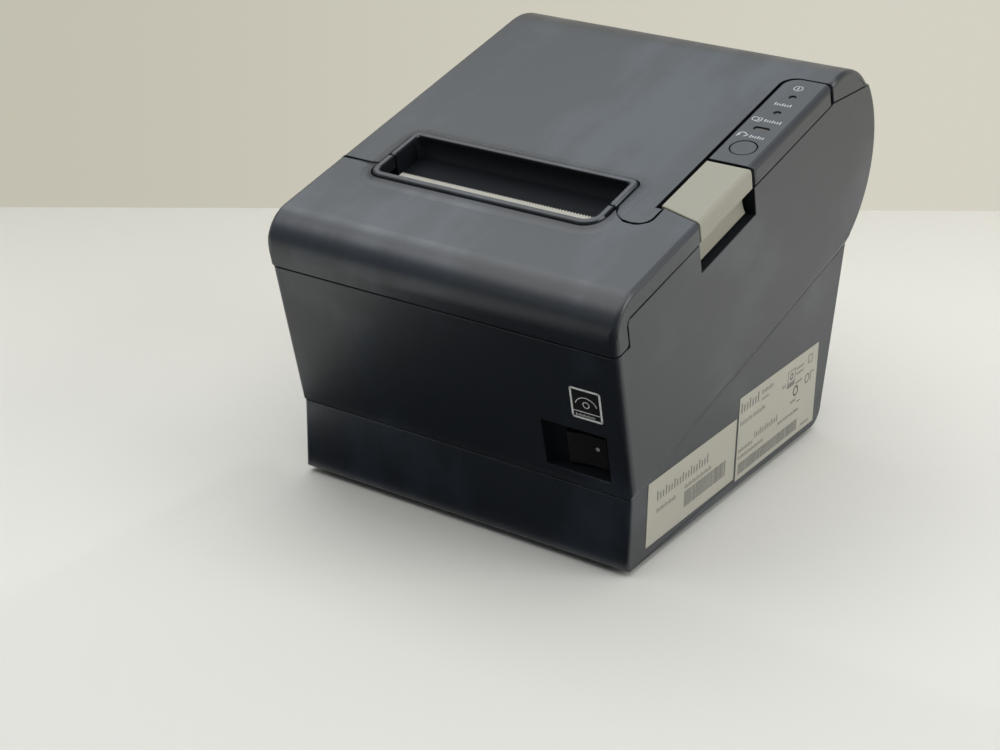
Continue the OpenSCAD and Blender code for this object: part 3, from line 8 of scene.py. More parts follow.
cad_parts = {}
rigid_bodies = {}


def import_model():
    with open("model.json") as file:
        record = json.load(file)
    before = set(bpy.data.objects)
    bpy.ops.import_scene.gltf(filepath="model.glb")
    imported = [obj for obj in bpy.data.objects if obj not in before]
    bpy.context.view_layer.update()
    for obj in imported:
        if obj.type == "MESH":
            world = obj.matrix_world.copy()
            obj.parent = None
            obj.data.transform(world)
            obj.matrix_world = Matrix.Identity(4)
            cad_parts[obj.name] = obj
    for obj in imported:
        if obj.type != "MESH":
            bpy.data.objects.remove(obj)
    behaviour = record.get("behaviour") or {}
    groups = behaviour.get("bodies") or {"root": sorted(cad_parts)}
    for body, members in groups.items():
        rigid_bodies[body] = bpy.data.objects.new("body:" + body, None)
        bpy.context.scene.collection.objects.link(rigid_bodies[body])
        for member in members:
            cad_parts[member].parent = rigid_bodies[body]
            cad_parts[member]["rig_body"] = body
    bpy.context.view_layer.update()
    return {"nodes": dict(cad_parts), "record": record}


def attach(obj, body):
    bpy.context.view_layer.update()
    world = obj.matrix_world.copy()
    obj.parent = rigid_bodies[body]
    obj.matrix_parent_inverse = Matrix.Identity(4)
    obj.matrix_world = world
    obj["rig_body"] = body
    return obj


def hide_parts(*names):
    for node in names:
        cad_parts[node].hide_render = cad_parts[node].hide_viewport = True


# %% [markdown]
# # A receipt printer, dressed for a render
# The printer arrives as a packed construction model: casings, a hinged paper cover, a lever, a print
# mechanism and boards, each a separate solid that already sits where it belongs. This lesson leaves
# those solids in place, gives every one of them a finish, and makes new pieces only where the real
# object has softer forms or printed marks than plain solids have.

# %% Load the construction model
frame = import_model()

# %% [markdown]
# ## Measures
# All the top parts of this printer lie on one sloping deck. Its own frame makes them easy to place:
# x runs across, t runs along the slope to the rear, and n stands square on the deck. One matrix
# takes a piece from that frame into the room. Lengths are in millimetres until they are placed.

# %% The sloping deck
MM = 0.001
SLOPE = math.radians(14.43)
DECK_H = 132.154
DECK = Matrix.Translation((0, 0, DECK_H * MM)) @ Matrix.Rotation(SLOPE, 4, "X") @ Matrix.Scale(MM, 4)
DECK_BACK = DECK.inverted()
TURN_BACK = Matrix.Rotation(-SLOPE, 3, "X")

SLOT = (-51.25, 39.25, -61.0, -35.0)  # left, right, front and rear of the paper slot
RIM_W = 2.6  # width of the raised rim round the slot
SEAM_T = -54.8  # middle of the seam between the two covers
TURN = (49.95, -47.0, 7.8)  # where that seam rounds the roll cover's tongue: x, t and radius
LIPS_X = 49.65  # centre of the ring that holds both lips of that turn
COVER_X = 72.5  # half the width over the covers


def deck_point(x, t, n):
    """A place on the sloping deck, in metres."""
    return DECK @ Vector((x, t, n))


print("the deck's middle is", round(deck_point(0, 0, 0).z, 4), "m above the table")

# %% [markdown]
# ## The camera
# A long lens from above the front right corner, close to level with the eye of someone standing at a
# counter. The long lens keeps the upright edges nearly parallel.

# %% Camera
camera_data = bpy.data.cameras.new("camera")
camera_data.sensor_width = 36
camera_data.lens = 71.979
camera = bpy.data.objects.new("camera", camera_data)
bpy.context.scene.collection.objects.link(camera)
camera.location = (0.365991, -0.605488, 0.346669)
camera.rotation_euler = [math.radians(a) for a in (65.80537, -0.83374, 33.98)]
bpy.context.scene.camera = camera
bpy.context.scene.view_settings.view_transform = "Standard"
print("camera stands", round(camera.location.length, 3), "m from the middle of the footprint")

# %% [markdown]
# ## Writing shaders as sums
# A finish here is a formula: a grain, a few smudges. Each socket is wrapped in a small class, so that
# `grain * 0.3 + base` builds its own Math nodes, and one method adds any other node.


# %% A socket that can be calculated with
class Wire:
    """One output of a finish's nodes, which takes part in sums."""

    def __init__(self, finish, socket):
        self.finish = finish
        self.socket = socket

    def _sum(self, operation, first, second):
        return self.finish.node("ShaderNodeMath", {"operation": operation}, {0: first, 1: second})

    def __add__(self, other):
        return self._sum("ADD", self, other)

    def __sub__(self, other):
        return self._sum("SUBTRACT", self, other)

    def __mul__(self, other):
        return self._sum("MULTIPLY", self, other)

    def __rsub__(self, other):
        return self._sum("SUBTRACT", other, self)

    __radd__ = __add__

    def above(self, level, soft):
        """0 below a level and 1 above it, with a soft step between them."""
        return self.finish.node(
            "ShaderNodeMapRange",
            {"interpolation_type": "SMOOTHSTEP"},
            {"Value": self, "From Min": level - soft, "From Max": level + soft},
        )


class Finish:
    """A material with one surface shader, and the nodes that colour it."""

    def __init__(self, name, **fixed):
        self.material = bpy.data.materials.new(name)
        self.material.use_nodes = True
        self.tree = self.material.node_tree
        self.shader = self.tree.nodes["Principled BSDF"]
        for socket, value in fixed.items():
            self.shader.inputs[socket.replace("_", " ")].default_value = value
        self.place = self.node("ShaderNodeTexCoord", out="Object")

    def node(self, kind, settings=None, values=None, out=0):
        """Add a node: its settings first, then the values or links of its sockets."""
        made = self.tree.nodes.new(kind)
        for name, value in (settings or {}).items():
            if name == "stops":
                while len(made.color_ramp.elements) < len(value):
                    made.color_ramp.elements.new(0.5)
                for element, (position, colour) in zip(made.color_ramp.elements, value):
                    element.position = position
                    element.color = (*colour, 1)
            else:
                setattr(made, name, value)
        for socket, value in (values or {}).items():
            if isinstance(value, Wire):
                self.tree.links.new(value.socket, made.inputs[socket])
            else:
                made.inputs[socket].default_value = value
        return Wire(self, made.outputs[out])

    def grain(self, scale, detail=2.0, rough=0.5, stretch=(1, 1, 1), shift=(0, 0, 0)):
        """Smooth noise of a given number of waves a metre."""
        where = self.node(
            "ShaderNodeMapping", None, {"Vector": self.place, "Scale": stretch, "Location": shift}
        )
        values = {"Vector": where, "Scale": scale, "Detail": detail, "Roughness": rough}
        return self.node("ShaderNodeTexNoise", None, values)

    def mix(self, share, first, second):
        """Blend two colours, each a value or a wire."""
        return self.node(
            "ShaderNodeMix",
            {"data_type": "RGBA"},
            {
                0: share,
                6: (*first, 1) if isinstance(first, tuple) else first,
                7: (*second, 1) if isinstance(second, tuple) else second,
            },
            out=2,
        )

    def bump(self, height, depth):
        """Raise the surface by a height from 0 to 1, over a depth in metres."""
        values = {"Height": height, "Distance": depth, "Strength": 1.0}
        self.feed("Normal", self.node("ShaderNodeBump", None, values))

    def feed(self, socket, wire):
        """Link a wire to the surface shader."""
        self.tree.links.new(wire.socket, self.shader.inputs[socket])


# %% [markdown]
# ## The casing's plastic
# The casings are moulded in a charcoal plastic with a very fine matt texture. On the real thing it is
# never one flat colour: hands leave faint wipes that are a little glossier, dust makes it paler in
# patches, and the texture breaks up the reflections. Noise stretched along the deck makes the wipes.


# %% Charcoal plastic
def casing_finish(name, tint, texture, wipes):
    """Charcoal plastic with pale clouds, glossier wipes, pale specks, and a fine texture in metres."""
    plastic = Finish(name, IOR=1.7)
    cloud = plastic.grain(14, 3, 0.55, shift=(0.3, 0.1, 0.2))
    wipe = plastic.grain(26, 4, 0.6, stretch=(1.0, 0.35, 0.6), shift=(0.7, 0.4, 0.1))
    streak = wipe.above(0.56, 0.09)
    speck = plastic.grain(420, 2, 0.6).above(0.68, 0.05)
    pale = tuple(min(1, c * 1.35 + 0.004) for c in tint)
    colour = plastic.mix(cloud * 0.35, tint, pale)
    colour = plastic.mix(streak * wipes * 0.7, colour, tuple(c * 2.2 + 0.008 for c in tint))
    plastic.feed("Base Color", plastic.mix(speck * 0.05, colour, (0.16, 0.16, 0.16)))
    plastic.feed("Roughness", 0.36 + cloud * 0.06 - streak * (0.10 * wipes))
    plastic.bump(plastic.grain(1900, 2, 0.6), texture)
    return plastic.material


case_plastic = casing_finish("case_plastic", (0.008, 0.0125, 0.020), 0.000012, 1.0)
print("casing finish has", len(case_plastic.node_tree.nodes), "nodes")

# %% [markdown]
# ## Plain mouldings, rubber and boards
# Inner mouldings, gears, rubber and painted cans differ in colour, gloss and the size of their grain,
# so one recipe makes them all. It also makes a near-black finish that is painted shade, for faces in
# seams, the slot and recesses.


# %% Moulded and painted parts
def moulded(name, tint, rough, waves, texture, change=0.25, coat=0.0, shine=0.5):
    """A plain surface: a tint that changes a little, a roughness, and a fine texture in metres."""
    part = Finish(name, IOR=1.48, Coat_Weight=coat, Specular_IOR_Level=shine)
    cloud = part.grain(waves, 3, 0.6)
    dark = tuple(c * (1 - change) for c in tint)
    pale = tuple(min(1, c * (1 + change)) for c in tint)
    part.feed("Base Color", part.mix(cloud, dark, pale))
    part.feed("Roughness", rough + cloud * 0.14)
    part.bump(part.grain(waves * 28, 2, 0.5), texture)
    return part.material


finishes = {
    "case_plastic": case_plastic,
    "dark_plastic": moulded("dark_plastic", (0.011, 0.011, 0.013), 0.40, 60, 0.000012),
    "lens_plastic": moulded("lens_plastic", (0.030, 0.026, 0.020), 0.16, 90, 0.000004, 0.2, 0.3),
    "gear_plastic": moulded("gear_plastic", (0.72, 0.71, 0.64), 0.34, 50, 0.00001, 0.05),
    "knob_plastic": moulded("knob_plastic", (0.05, 0.16, 0.30), 0.34, 50, 0.00001, 0.1),
    "foot_rubber": moulded("foot_rubber", (0.022, 0.022, 0.022), 0.72, 70, 0.00004, 0.3),
    "motor_can": moulded("motor_can", (0.16, 0.16, 0.17), 0.36, 50, 0.00001, 0.15),
    "head_ceramic": moulded("head_ceramic", (0.32, 0.24, 0.16), 0.18, 60, 0.000004, 0.1, 0.5),
    "board_parts": moulded("board_parts", (0.028, 0.028, 0.032), 0.42, 60, 0.00001),
    # Painted shade: a near-black, dull plastic for faces in seams, the slot and recesses, where shade
    # falls.
    "painted_shade_plastic": moulded("painted_shade_plastic", (0.004, 0.006, 0.009), 0.62, 60, 0.000012, shine=0.2),
    "lever_plastic": moulded("lever_plastic", (0.33, 0.32, 0.262), 0.42, 55, 0.000012, 0.03),
}
print(len(finishes), "plastics, rubbers, paints and ceramics are mixed")

# %% [markdown]
# ## Metals
# Sheet metal is brushed or galvanised, so its reflections are drawn out one way. A noise that is long in
# one direction, in roughness and as a slight bump, gives that without any picture.


# %% Brushed metals
def metal(name, tint, rough, along, waves=300):
    """Brushed metal; the noise is stretched along the direction with the small number."""
    part = Finish(name, Metallic=1.0)
    lines = part.grain(waves, 3, 0.6, stretch=along)
    patch = part.grain(45, 2, 0.5)
    part.feed("Base Color", part.mix(patch * 0.5, tint, tuple(c * 0.72 for c in tint)))
    part.feed("Roughness", rough - 0.08 + lines * 0.16)
    part.bump(lines, 0.000008)
    return part.material


for metal_row in (
    ("sheet_steel", (0.55, 0.55, 0.54), 0.42, (0.06, 1, 1)),
    ("blade_steel", (0.40, 0.385, 0.34), 0.5, (0.05, 1, 1), 700),
    ("bright_steel", (0.62, 0.62, 0.62), 0.24, (1, 0.1, 0.1), 500),
    ("bush_bronze", (0.50, 0.35, 0.17), 0.45, (1, 1, 1)),
    ("heatsink", (0.60, 0.60, 0.62), 0.40, (1, 0.2, 1)),
):
    finishes[metal_row[0]] = metal(*metal_row)
    print(metal_row[0], "is brushed")

# %% [markdown]
# ## Circuit boards and labels
# A board is green solder mask over copper tracks: the tracks are a fine grid of noise that lifts the
# surface and pales it. Labels are a slightly yellowed film with the faintest mottling.

# %% Boards and label film
mask = Finish("circuit_board", IOR=1.5, Roughness=0.3, Coat_Weight=0.4)
tracks = mask.node(
    "ShaderNodeTexVoronoi", {"distance": "CHEBYCHEV"}, {"Vector": mask.place, "Scale": 260.0}
).above(0.42, 0.03)
mask.feed("Base Color", mask.mix(tracks, (0.012, 0.075, 0.030), (0.030, 0.150, 0.060)))
mask.bump(tracks, 0.00003)
finishes["circuit_board"] = mask.material

film = Finish("label_paper", IOR=1.45)
mottle = film.grain(70, 3, 0.6)
film.feed("Base Color", film.mix(mottle, (0.41, 0.397, 0.336), (0.465, 0.45, 0.39)))
film.feed("Roughness", 0.42 + mottle * 0.1)
film.bump(film.grain(900), 0.000006)
finishes["label_paper"] = film.material
print("boards and labels bring the finishes to", len(finishes))

# %% Give every solid the finish of its material slot
slot_of = {part["node"]: part["material_slot"] for part in frame["record"]["subparts"]}
for node, solid in frame["nodes"].items():
    solid.data.materials.clear()
    solid.data.materials.append(finishes[slot_of[node]])
print(len(frame["nodes"]), "solids have a finish")

# %% [markdown]
# ## Softened casings
# No moulded casing has knife edges: the mould is rounded where a hand meets it, and light draws a thin
# bright line along each such edge. The construction solids keep sharp edges, because that keeps them
# exact. So every visible casing gets a copy. Its loose triangles are merged, flat faces are joined
# again, and a Bevel modifier rounds the edges that carry a weight. One rule for each casing says which
# edges are round, and by how many millimetres. Where two casings meet, the copy's lip is drawn back by
# a hair, so that the seam stays a clear dark line between the rounded edges. Faces off the skin, in
# seams, the slot and recesses, get a near-black finish: painted shade for the shade that falls there.
# The copy then stands for the solid.

# %% A copy of a solid with rounded edges
WIDEST = 2.5  # the bevel's full width in millimetres; a weight takes a share of it
MERGE = 4e-6  # metres within which two corners are one
FLAT = math.radians(0.3)  # faces closer than this lie in one plane
CORNER = math.radians(28)  # an edge sharper than this may be rounded
SHARP = math.radians(24)  # shading breaks at an edge sharper than this
BEND_T, BEND_N = -89, -14.5  # the bend from the deck into the front starts at this t, ends at this n
FRONT_T = -103  # the front's skin lies before this
REAR_T = 54  # the rear's skin lies behind this
FLANK_X = 70.9  # the skins of the sides lie beyond this


def mesh_from(bm, name):
    """Turn a finished construction into a mesh."""
    mesh = bpy.data.meshes.new(name)
    bm.to_mesh(mesh)
    bm.free()
    return mesh


def add_piece(name, mesh, body, material):
    """Put a finished mesh in the scene, riding on a body of the printer."""
    if not mesh.materials:
        mesh.materials.append(material)
    piece = bpy.data.objects.new(name, mesh)
    bpy.context.scene.collection.objects.link(piece)
    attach(piece, body)
    return piece


def hollow_edges(ends):
    """The inner corners that are rounded: the foot of the raised rim, and the slot's rear corners."""
    middle = (SLOT[0] + SLOT[1]) / 2
    rear_corner = min(abs(end.y - SLOT[3]) for end in ends) < 0.2 and abs(ends[0].z - ends[1].z) > 3
    at_foot = max(abs(end.z) for end in ends) < 0.05 and max(abs(end.x - middle) for end in ends) < 48.5
    return 2.2 if rear_corner else 1.1 if at_foot else 0


def shows(place, facing):
    """Whether a face belongs to the outer skin; the rest gets painted shade, as in seams, the slot and
    recesses.
    """
    if place.y < BEND_T and place.z > BEND_N and facing.z > 0.02:
        return facing.y < 0.02
    if facing.y < -0.3 and place.y < -95:
        return place.y < FRONT_T or abs(place.x) > 69.1 and place.y < -100
    side = abs(place.x) > FLANK_X and abs(facing.x) > 0.3
    top = place.z > -0.15 and place.z + facing.z > 0.3
    rear = facing.y > 0.2 and place.y > REAR_T or facing.z > 0.2 and place.y > REAR_T + 1
    return side or top or rear


def opening(place):
    """How far the lip of a seam draws back at a place in the deck's frame, in millimetres."""
    if place.z > -0.1:
        off_ring = abs(math.hypot(place.x - LIPS_X, place.y - TURN[1]) - TURN[2])
        on_turn = off_ring < 0.62 and place.x > 41 and place.y < -46.9
        return 0.15 if on_turn or abs(place.y - SEAM_T) < 0.4 else 0
    return 0.2 if -20 < place.z < -1 and place.y < -56 else 0


def open_seams(bm):
    """Draw the lips of the seams back along the outer skin, so that each seam is a clear dark line."""
    shifts = []
    for vert in bm.verts:
        depth = opening(DECK_BACK @ vert.co)
        faces = vert.link_faces
        seen = [shows(DECK_BACK @ face.calc_center_median(), TURN_BACK @ face.normal) for face in faces]
        if depth and any(seen) and not all(seen):
            walls = [face.normal for face, skin in zip(faces, seen) if not skin]
            pull = sum(walls, Vector())
            shifts.append((vert, pull * (depth * MM * len(walls) / max(pull.length_squared, 0.5))))
    for vert, shift in shifts:
        vert.co -= shift


def softened(node, rule):
    """Replace a solid by a copy, with its edges rounded by what the rule gives for each of them."""
    solid = frame["nodes"][node]
    slot = slot_of[node]
    bm = bmesh.new()
    bm.from_mesh(solid.data)
    bmesh.ops.remove_doubles(bm, verts=bm.verts, dist=MERGE)
    bmesh.ops.dissolve_limit(bm, angle_limit=FLAT, verts=bm.verts, edges=bm.edges, delimit={"NORMAL"})
    bm.normal_update()
    if slot == "case_plastic":
        open_seams(bm)
    weight = bm.edges.layers.float.new("bevel_weight_edge")
    rounded = 0
    for edge in bm.edges:
        if len(edge.link_faces) == 2 and abs(edge.calc_face_angle_signed(0)) > CORNER:
            ends = [DECK_BACK @ vert.co for vert in edge.verts]
            faces = [TURN_BACK @ face.normal for face in edge.link_faces]
            width = rule(ends, faces) if edge.is_convex else hollow_edges(ends)
            edge[weight] = width / WIDEST
            rounded += width > 0
    for face in bm.faces:
        face.smooth = True
    mesh = mesh_from(bm, node + "_soft")
    mesh.set_sharp_from_angle(angle=SHARP)
    mesh.materials.append(finishes[slot])
    # Faces off the skin get painted shade: a near-black finish for the shade in seams, the slot and
    # recesses.
    if slot == "case_plastic":
        mesh.materials.append(finishes["painted_shade_plastic"])
        for face in mesh.polygons:
            outside = shows(DECK_BACK @ face.center, TURN_BACK @ face.normal)
            face.material_index = 0 if outside else 1
    piece = add_piece(node + "_soft", mesh, solid["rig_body"], finishes[slot])
    rounding = piece.modifiers.new("rounded edges", "BEVEL")
    rounding.limit_method = "WEIGHT"
    rounding.width = WIDEST * MM
    rounding.segments = 3
    rounding.loop_slide = False
    rounding.use_clamp_overlap = False
    level = piece.modifiers.new("flat faces stay flat", "WEIGHTED_NORMAL")
    level.keep_sharp = True
    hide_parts(node)
    print(node, "has", rounded, "rounded edges")
    return piece


# %% Rules for the covers
def at_side(ends, inset=0.5):
    """Whether an edge lies within an inset of the casing's sides."""
    return min(abs(end.x) for end in ends) > COVER_X - inset


def cutter_cover_edges(ends, faces):
    """The rim is soft, the long upper side edges are round, and the seams stay crisp."""
    if min(end.z for end in ends) > 1.5:
        return 0.75
    outward = max(abs(face.x) for face in faces) > 0.4
    if outward and at_side(ends, 3.2) and any(face.z > 0.15 and abs(face.x) < 0.4 for face in faces):
        return 1.8
    return 0.35 if max(end.z for end in ends) > -1 or at_side(ends) else 0


def roll_cover_edges(ends, faces):
    """The same for the cover over the roll, whose side edges run round to the rear."""
    if min(end.z for end in ends) > 1.5:
        return 0.75
    if at_side(ends) and any(face.z > -0.3 and face.y > -0.5 and abs(face.x) < 0.4 for face in faces):
        return 1.9
    return 0.4 if max(end.y for end in ends) < -54 or at_side(ends) else 0


def panel_edges(ends, faces):
    """The panel is crisp all round except for its outer side."""
    if max(end.z for end in ends) < -0.1:
        return 0.25 if at_side(ends) else 0
    if at_side(ends) and any(face.x > 0.9 for face in faces):
        return 2.4
    return 0.3


def lever_edges(ends, faces):
    """The lever is round where a thumb meets it."""
    top = min(end.z for end in ends) > -0.1
    if at_side(ends) and top and any(face.x > 0.9 for face in faces):
        return 1.6
    return 0.45 if top or at_side(ends) else 0.15


softened("cutter_cover", cutter_cover_edges)
softened("roll_cover", roll_cover_edges)
softened("control_panel", panel_edges)
softened("cover_lever", lever_edges)
softened("feed_button", lambda ends, faces: 0.3 if min(end.z for end in ends) > -0.3 else 0)


# %% Rules for the case
def upper_case_edges(ends, faces):
    """The upper case is rounder at its rear corners, and crisp elsewhere."""
    if not at_side(ends, 1.8):
        front = max(end.y for end in ends) < -103.1
        return 0.3 if front or at_side(ends, 13) and min(end.z for end in ends) < -8 else 0
    if any(face.y > 0.2 for face in faces) and max(end.z for end in ends) < -10:
        return 1.0
    return 0.35


def lower_case_edges(ends, faces):
    """The lower case has round front corners and slightly soft edges; hidden ones stay sharp."""
    if not (at_side(ends, 1.8) or max(end.y for end in ends) < -110):
        return 0
    upright = abs(ends[0].z - ends[1].z) > 5 and max(end.y for end in ends) < -90
    return 1.5 if upright and at_side(ends, 1.8) else 0.5


softened("upper_case", upper_case_edges)
softened("lower_case", lower_case_edges)


# %% [markdown]
# ## The foot of the rim
# The rim round the paper slot grows out of the deck over about five millimetres, and the seam between
# the two covers cuts through that swelling. An outline of the rim is widened, filled, and inset in
# steps that rise like a hollow curve. The seam's course then cuts it, with a gap of its own, and each
# part rides on its cover.

# %% A swelling round the slot
SWELL = 5.2  # width of the swelling
RISES = (0.22, 0.12, 0.12, 0.16, 0.24, 0.42)  # height that each inset step gains
GAP = 0.42  # how far each part stays from the middle of the seam


def round_outline(grow):
    """Corners of the rim's outline, widened, as points on the deck."""
    left, right, front, rear = SLOT
    middle = (front + rear) / 2
    outline = []
    for x, t, radius, start in (
        (right + RIM_W, front - RIM_W, 7, -90), (right + RIM_W, rear + RIM_W, 3, 0),
        (left - RIM_W, rear + RIM_W, 3, 90), (left - RIM_W, front - RIM_W, 5, 180),
    ):
        side = 1 if x > 0 else -1
        back = 1 if t > middle else -1
        for step in range(9):
            angle = math.radians(start + 90 * step / 8)
            outline.append(Vector((
                x - side * radius + (radius + grow) * math.cos(angle),
                t - back * radius + (radius + grow) * math.sin(angle), 0,
            )))
    return outline


def before_seam(x, t):
    """How far a place on the deck lies in front of the seam, in millimetres."""
    if x > TURN[0]:
        return SEAM_T - t
    if x > SLOT[1] and t < TURN[1]:
        return math.hypot(x - TURN[0], t - TURN[1]) - TURN[2]
    return (SEAM_T if x < 0 else TURN[1]) - t


def swelling(name, body, sign):
    """The part of the swelling before the seam (sign 1) or behind it (sign -1)."""
    bm = bmesh.new()
    top = bm.faces.new([bm.verts.new(point) for point in round_outline(SWELL)])
    width = SWELL / len(RISES)
    for lift in RISES:
        bmesh.ops.inset_individual(bm, faces=[top], thickness=width, depth=lift, use_even_offset=True)
    bmesh.ops.delete(bm, geom=[top], context="FACES_ONLY")
    for step in range(10):
        angle = math.radians(180 + 9 * step)
        way = Vector((math.cos(angle), math.sin(angle), 0))
        cut = Vector(TURN[:2]).to_3d() + way * (TURN[2] + sign * GAP)
        middles = [(face, face.calc_center_median()) for face in bm.faces]
        faces = [face for face, middle in middles if middle.x > SLOT[1] and middle.y < -42]
        lines = {edge for face in faces for edge in face.edges}
        points = {vert for face in faces for vert in face.verts}
        bmesh.ops.bisect_plane(bm, geom=faces + list(lines | points), plane_co=cut, plane_no=way)
    everything = bm.verts[:] + bm.edges[:] + bm.faces[:]
    cut = (0, SEAM_T - sign * GAP, 0)
    bmesh.ops.bisect_plane(bm, geom=everything, plane_co=cut, plane_no=(0, 1, 0))
    other = [f for f in bm.faces if sign * before_seam(*f.calc_center_median().xy) < GAP]
    bmesh.ops.delete(bm, geom=other, context="FACES")
    for face in bm.faces:
        face.smooth = True
    bm.transform(DECK)
    bmesh.ops.recalc_face_normals(bm, faces=bm.faces)
    mesh = mesh_from(bm, name)
    piece = add_piece(name, mesh, body, finishes["case_plastic"])
    print(name, "has", len(mesh.polygons), "faces")
    return piece


swelling("rim_foot_front", frame["nodes"]["cutter_cover"]["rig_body"], 1)
swelling("rim_foot_rear", frame["nodes"]["roll_cover"]["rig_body"], -1)

# %% [markdown]
# ## Printed marks
# Marks are thin plates on a plane: upright boxes, and strokes along a few points. The same function
# prints the control panel, the badge and both labels. All of them are plain filler: rows of small
# strokes where a line of text would be, a bar code that says nothing, and simple shapes for signs.

# %% Thin marks on a plane
INK = 0.03  # how far a mark stands out
UP_FRONT = DECK.col[2].xyz  # upward on the front, which stands square to the deck


def plane_at(corner, across, upward):
    """A frame in millimetres at a corner in metres, with its third axis square to the surface."""
    across, upward = Vector(across).normalized(), Vector(upward).normalized()
    turn = Matrix((across, upward, across.cross(upward))).transposed().to_4x4()
    return Matrix.Translation(corner) @ turn @ Matrix.Scale(MM, 4)


def marks(name, node, plane, slot, boxes=(), strokes=()):
    """Print boxes (left, low, right, high) and strokes (points, width) on a plane, in millimetres."""
    bm = bmesh.new()
    for left, low, right, high in boxes:
        middle = Matrix.Translation(((left + right) / 2, (low + high) / 2, INK / 2))
        size = Matrix.Diagonal((right - left, high - low, INK, 1))
        bmesh.ops.create_cube(bm, size=1, matrix=plane @ middle @ size)
    for points, width in strokes:
        for first, second in zip(points, points[1:]):
            run = Vector(second) - Vector(first)
            middle = (Vector(first) + Vector(second)) / 2
            turn = Matrix.Rotation(math.atan2(run.y, run.x), 4, "Z")
            place = Matrix.Translation((middle.x, middle.y, INK / 2)) @ turn
            size = Matrix.Diagonal((run.length + width * 0.7, width, INK, 1))
            bmesh.ops.create_cube(bm, size=1, matrix=plane @ place @ size)
    mesh = mesh_from(bm, name)
    colour = finishes["white_ink" if slot == "case_plastic" else "dark_ink"]
    print(name, "has", len(boxes), "boxes and", len(strokes), "strokes")
    return add_piece(name, mesh, frame["nodes"][node]["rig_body"], colour)


def ring(x, y, radius, start=0, end=360, steps=12):
    """Points round part of a circle."""
    return [
        (x + radius * math.cos(math.radians(a)), y + radius * math.sin(math.radians(a)))
        for a in (start + (end - start) * step / steps for step in range(steps + 1))
    ]


def filler(x, y, high, count, pitch=0.5):
    """A row of plain ticks that fills the place of a word."""
    return [
        (x + k * high * pitch, y, x + (k * pitch + 0.2) * high, y + high * (0.66 if k % 3 else 0.92))
        for k in range(round(count * 0.72 / pitch))
    ]


def bar_code(x, y, width, high, seed):
    """Upright bars of changing widths."""
    boxes = []
    left = x
    k = seed
    while left < x + width:
        k = (k * 29 + 17) % 97
        thick = (0.22, 0.34, 0.5)[k % 3]
        boxes.append((left, y, min(left + thick, x + width), y + high))
        left += thick + (0.24, 0.4, 0.3)[k % 7 % 3]
    return boxes


def ink(name, thin, full):
    """A matt ink that lies between two shades."""
    part = Finish(name, Roughness=0.5)
    part.feed("Base Color", part.mix(part.grain(900, 2), thin, full))
    return part.material


finishes["white_ink"] = ink("white_ink", (0.50, 0.52, 0.52), (0.66, 0.68, 0.67))
finishes["dark_ink"] = ink("dark_ink", (0.13, 0.13, 0.125), (0.22, 0.215, 0.20))

# %% Marks on the control panel
panel_plane = plane_at(deck_point(0, 0, 0.01), (1, 0, 0), DECK.col[1].xyz)
panel_signs = [
    (ring(58.2, 11.0, 1.5, 200, 20, 5), 0.4), ([(59.3, 10.0), (60.4, 11.4)], 0.4),
    ([(56.6, 9.6), (57.4, 10.9)], 0.4), (ring(57.5, 22.6, 1.3), 0.32), (ring(59.3, 23.0, 0.8), 0.32),
    ([(57.5, 21.3), (59.4, 21.0), (60.2, 22.6)], 0.32), (ring(62.1, 47.6, 1.7), 0.34),
    ([(62.1, 46.7), (62.1, 48.5)], 0.4),
]
panel_boxes = filler(61.4, 9.9, 2.0, 4) + filler(61.2, 21.6, 2.0, 5) + filler(59.0, 34.0, 2.0, 5)
marks("panel_marks", "control_panel", panel_plane, "case_plastic", panel_boxes, panel_signs)

# %% The badge on the front
BADGE_X, BADGE_T, BADGE_N = 51.6, -103.48, -47.5  # its lower left corner, on its outer face
BADGE_W, BADGE_H = 12.4, 13.0
IN, CUT = 0.5, 0.9  # its border runs inside the edge, and cuts the corners

badge_plane = plane_at(deck_point(BADGE_X, BADGE_T, BADGE_N), (1, 0, 0), UP_FRONT)
border = [
    (IN, CUT), (CUT, IN), (BADGE_W - CUT, IN), (BADGE_W - IN, CUT), (BADGE_W - IN, BADGE_H - CUT),
    (BADGE_W - CUT, BADGE_H - IN), (CUT, BADGE_H - IN), (IN, BADGE_H - CUT), (IN, CUT),
]
badge_signs = [
    (border, 0.75), ([(1, 3.2), (BADGE_W - 1, 3.2)], 0.3),
    (ring(BADGE_W / 2, 5.0, 4.4, 20, 160, 10), 0.3), (ring(BADGE_W / 2, 6.4, 1.2), 0.35),
]
marks("badge_marks", "front_badge", badge_plane, "case_plastic", filler(1.8, 1.3, 1.1, 10), badge_signs)

# %% The two labels on the side
LABEL_X = 71.16  # just outside the outer faces of both labels


def side_plane(y, z):
    """The plane of a label whose lower front corner stands at y and z."""
    return plane_at(Vector((LABEL_X, y, z)) * MM, (0, 1, 0), (0, 0, 1))


def filler_rows(rows):
    """Several rows of filler."""
    return [box for row in rows for box in filler(*row)]


asset_boxes = filler_rows([(6.5, 16.0, 4.0, 13), (6.5, 11.2, 2.0, 10), (26.5, 12.2, 2.0, 14)])
asset_boxes += bar_code(26.5, 4.8, 31, 6.4, 5)
marks("asset_marks", "asset_label", side_plane(-68.5, 7), "label_paper", asset_boxes)

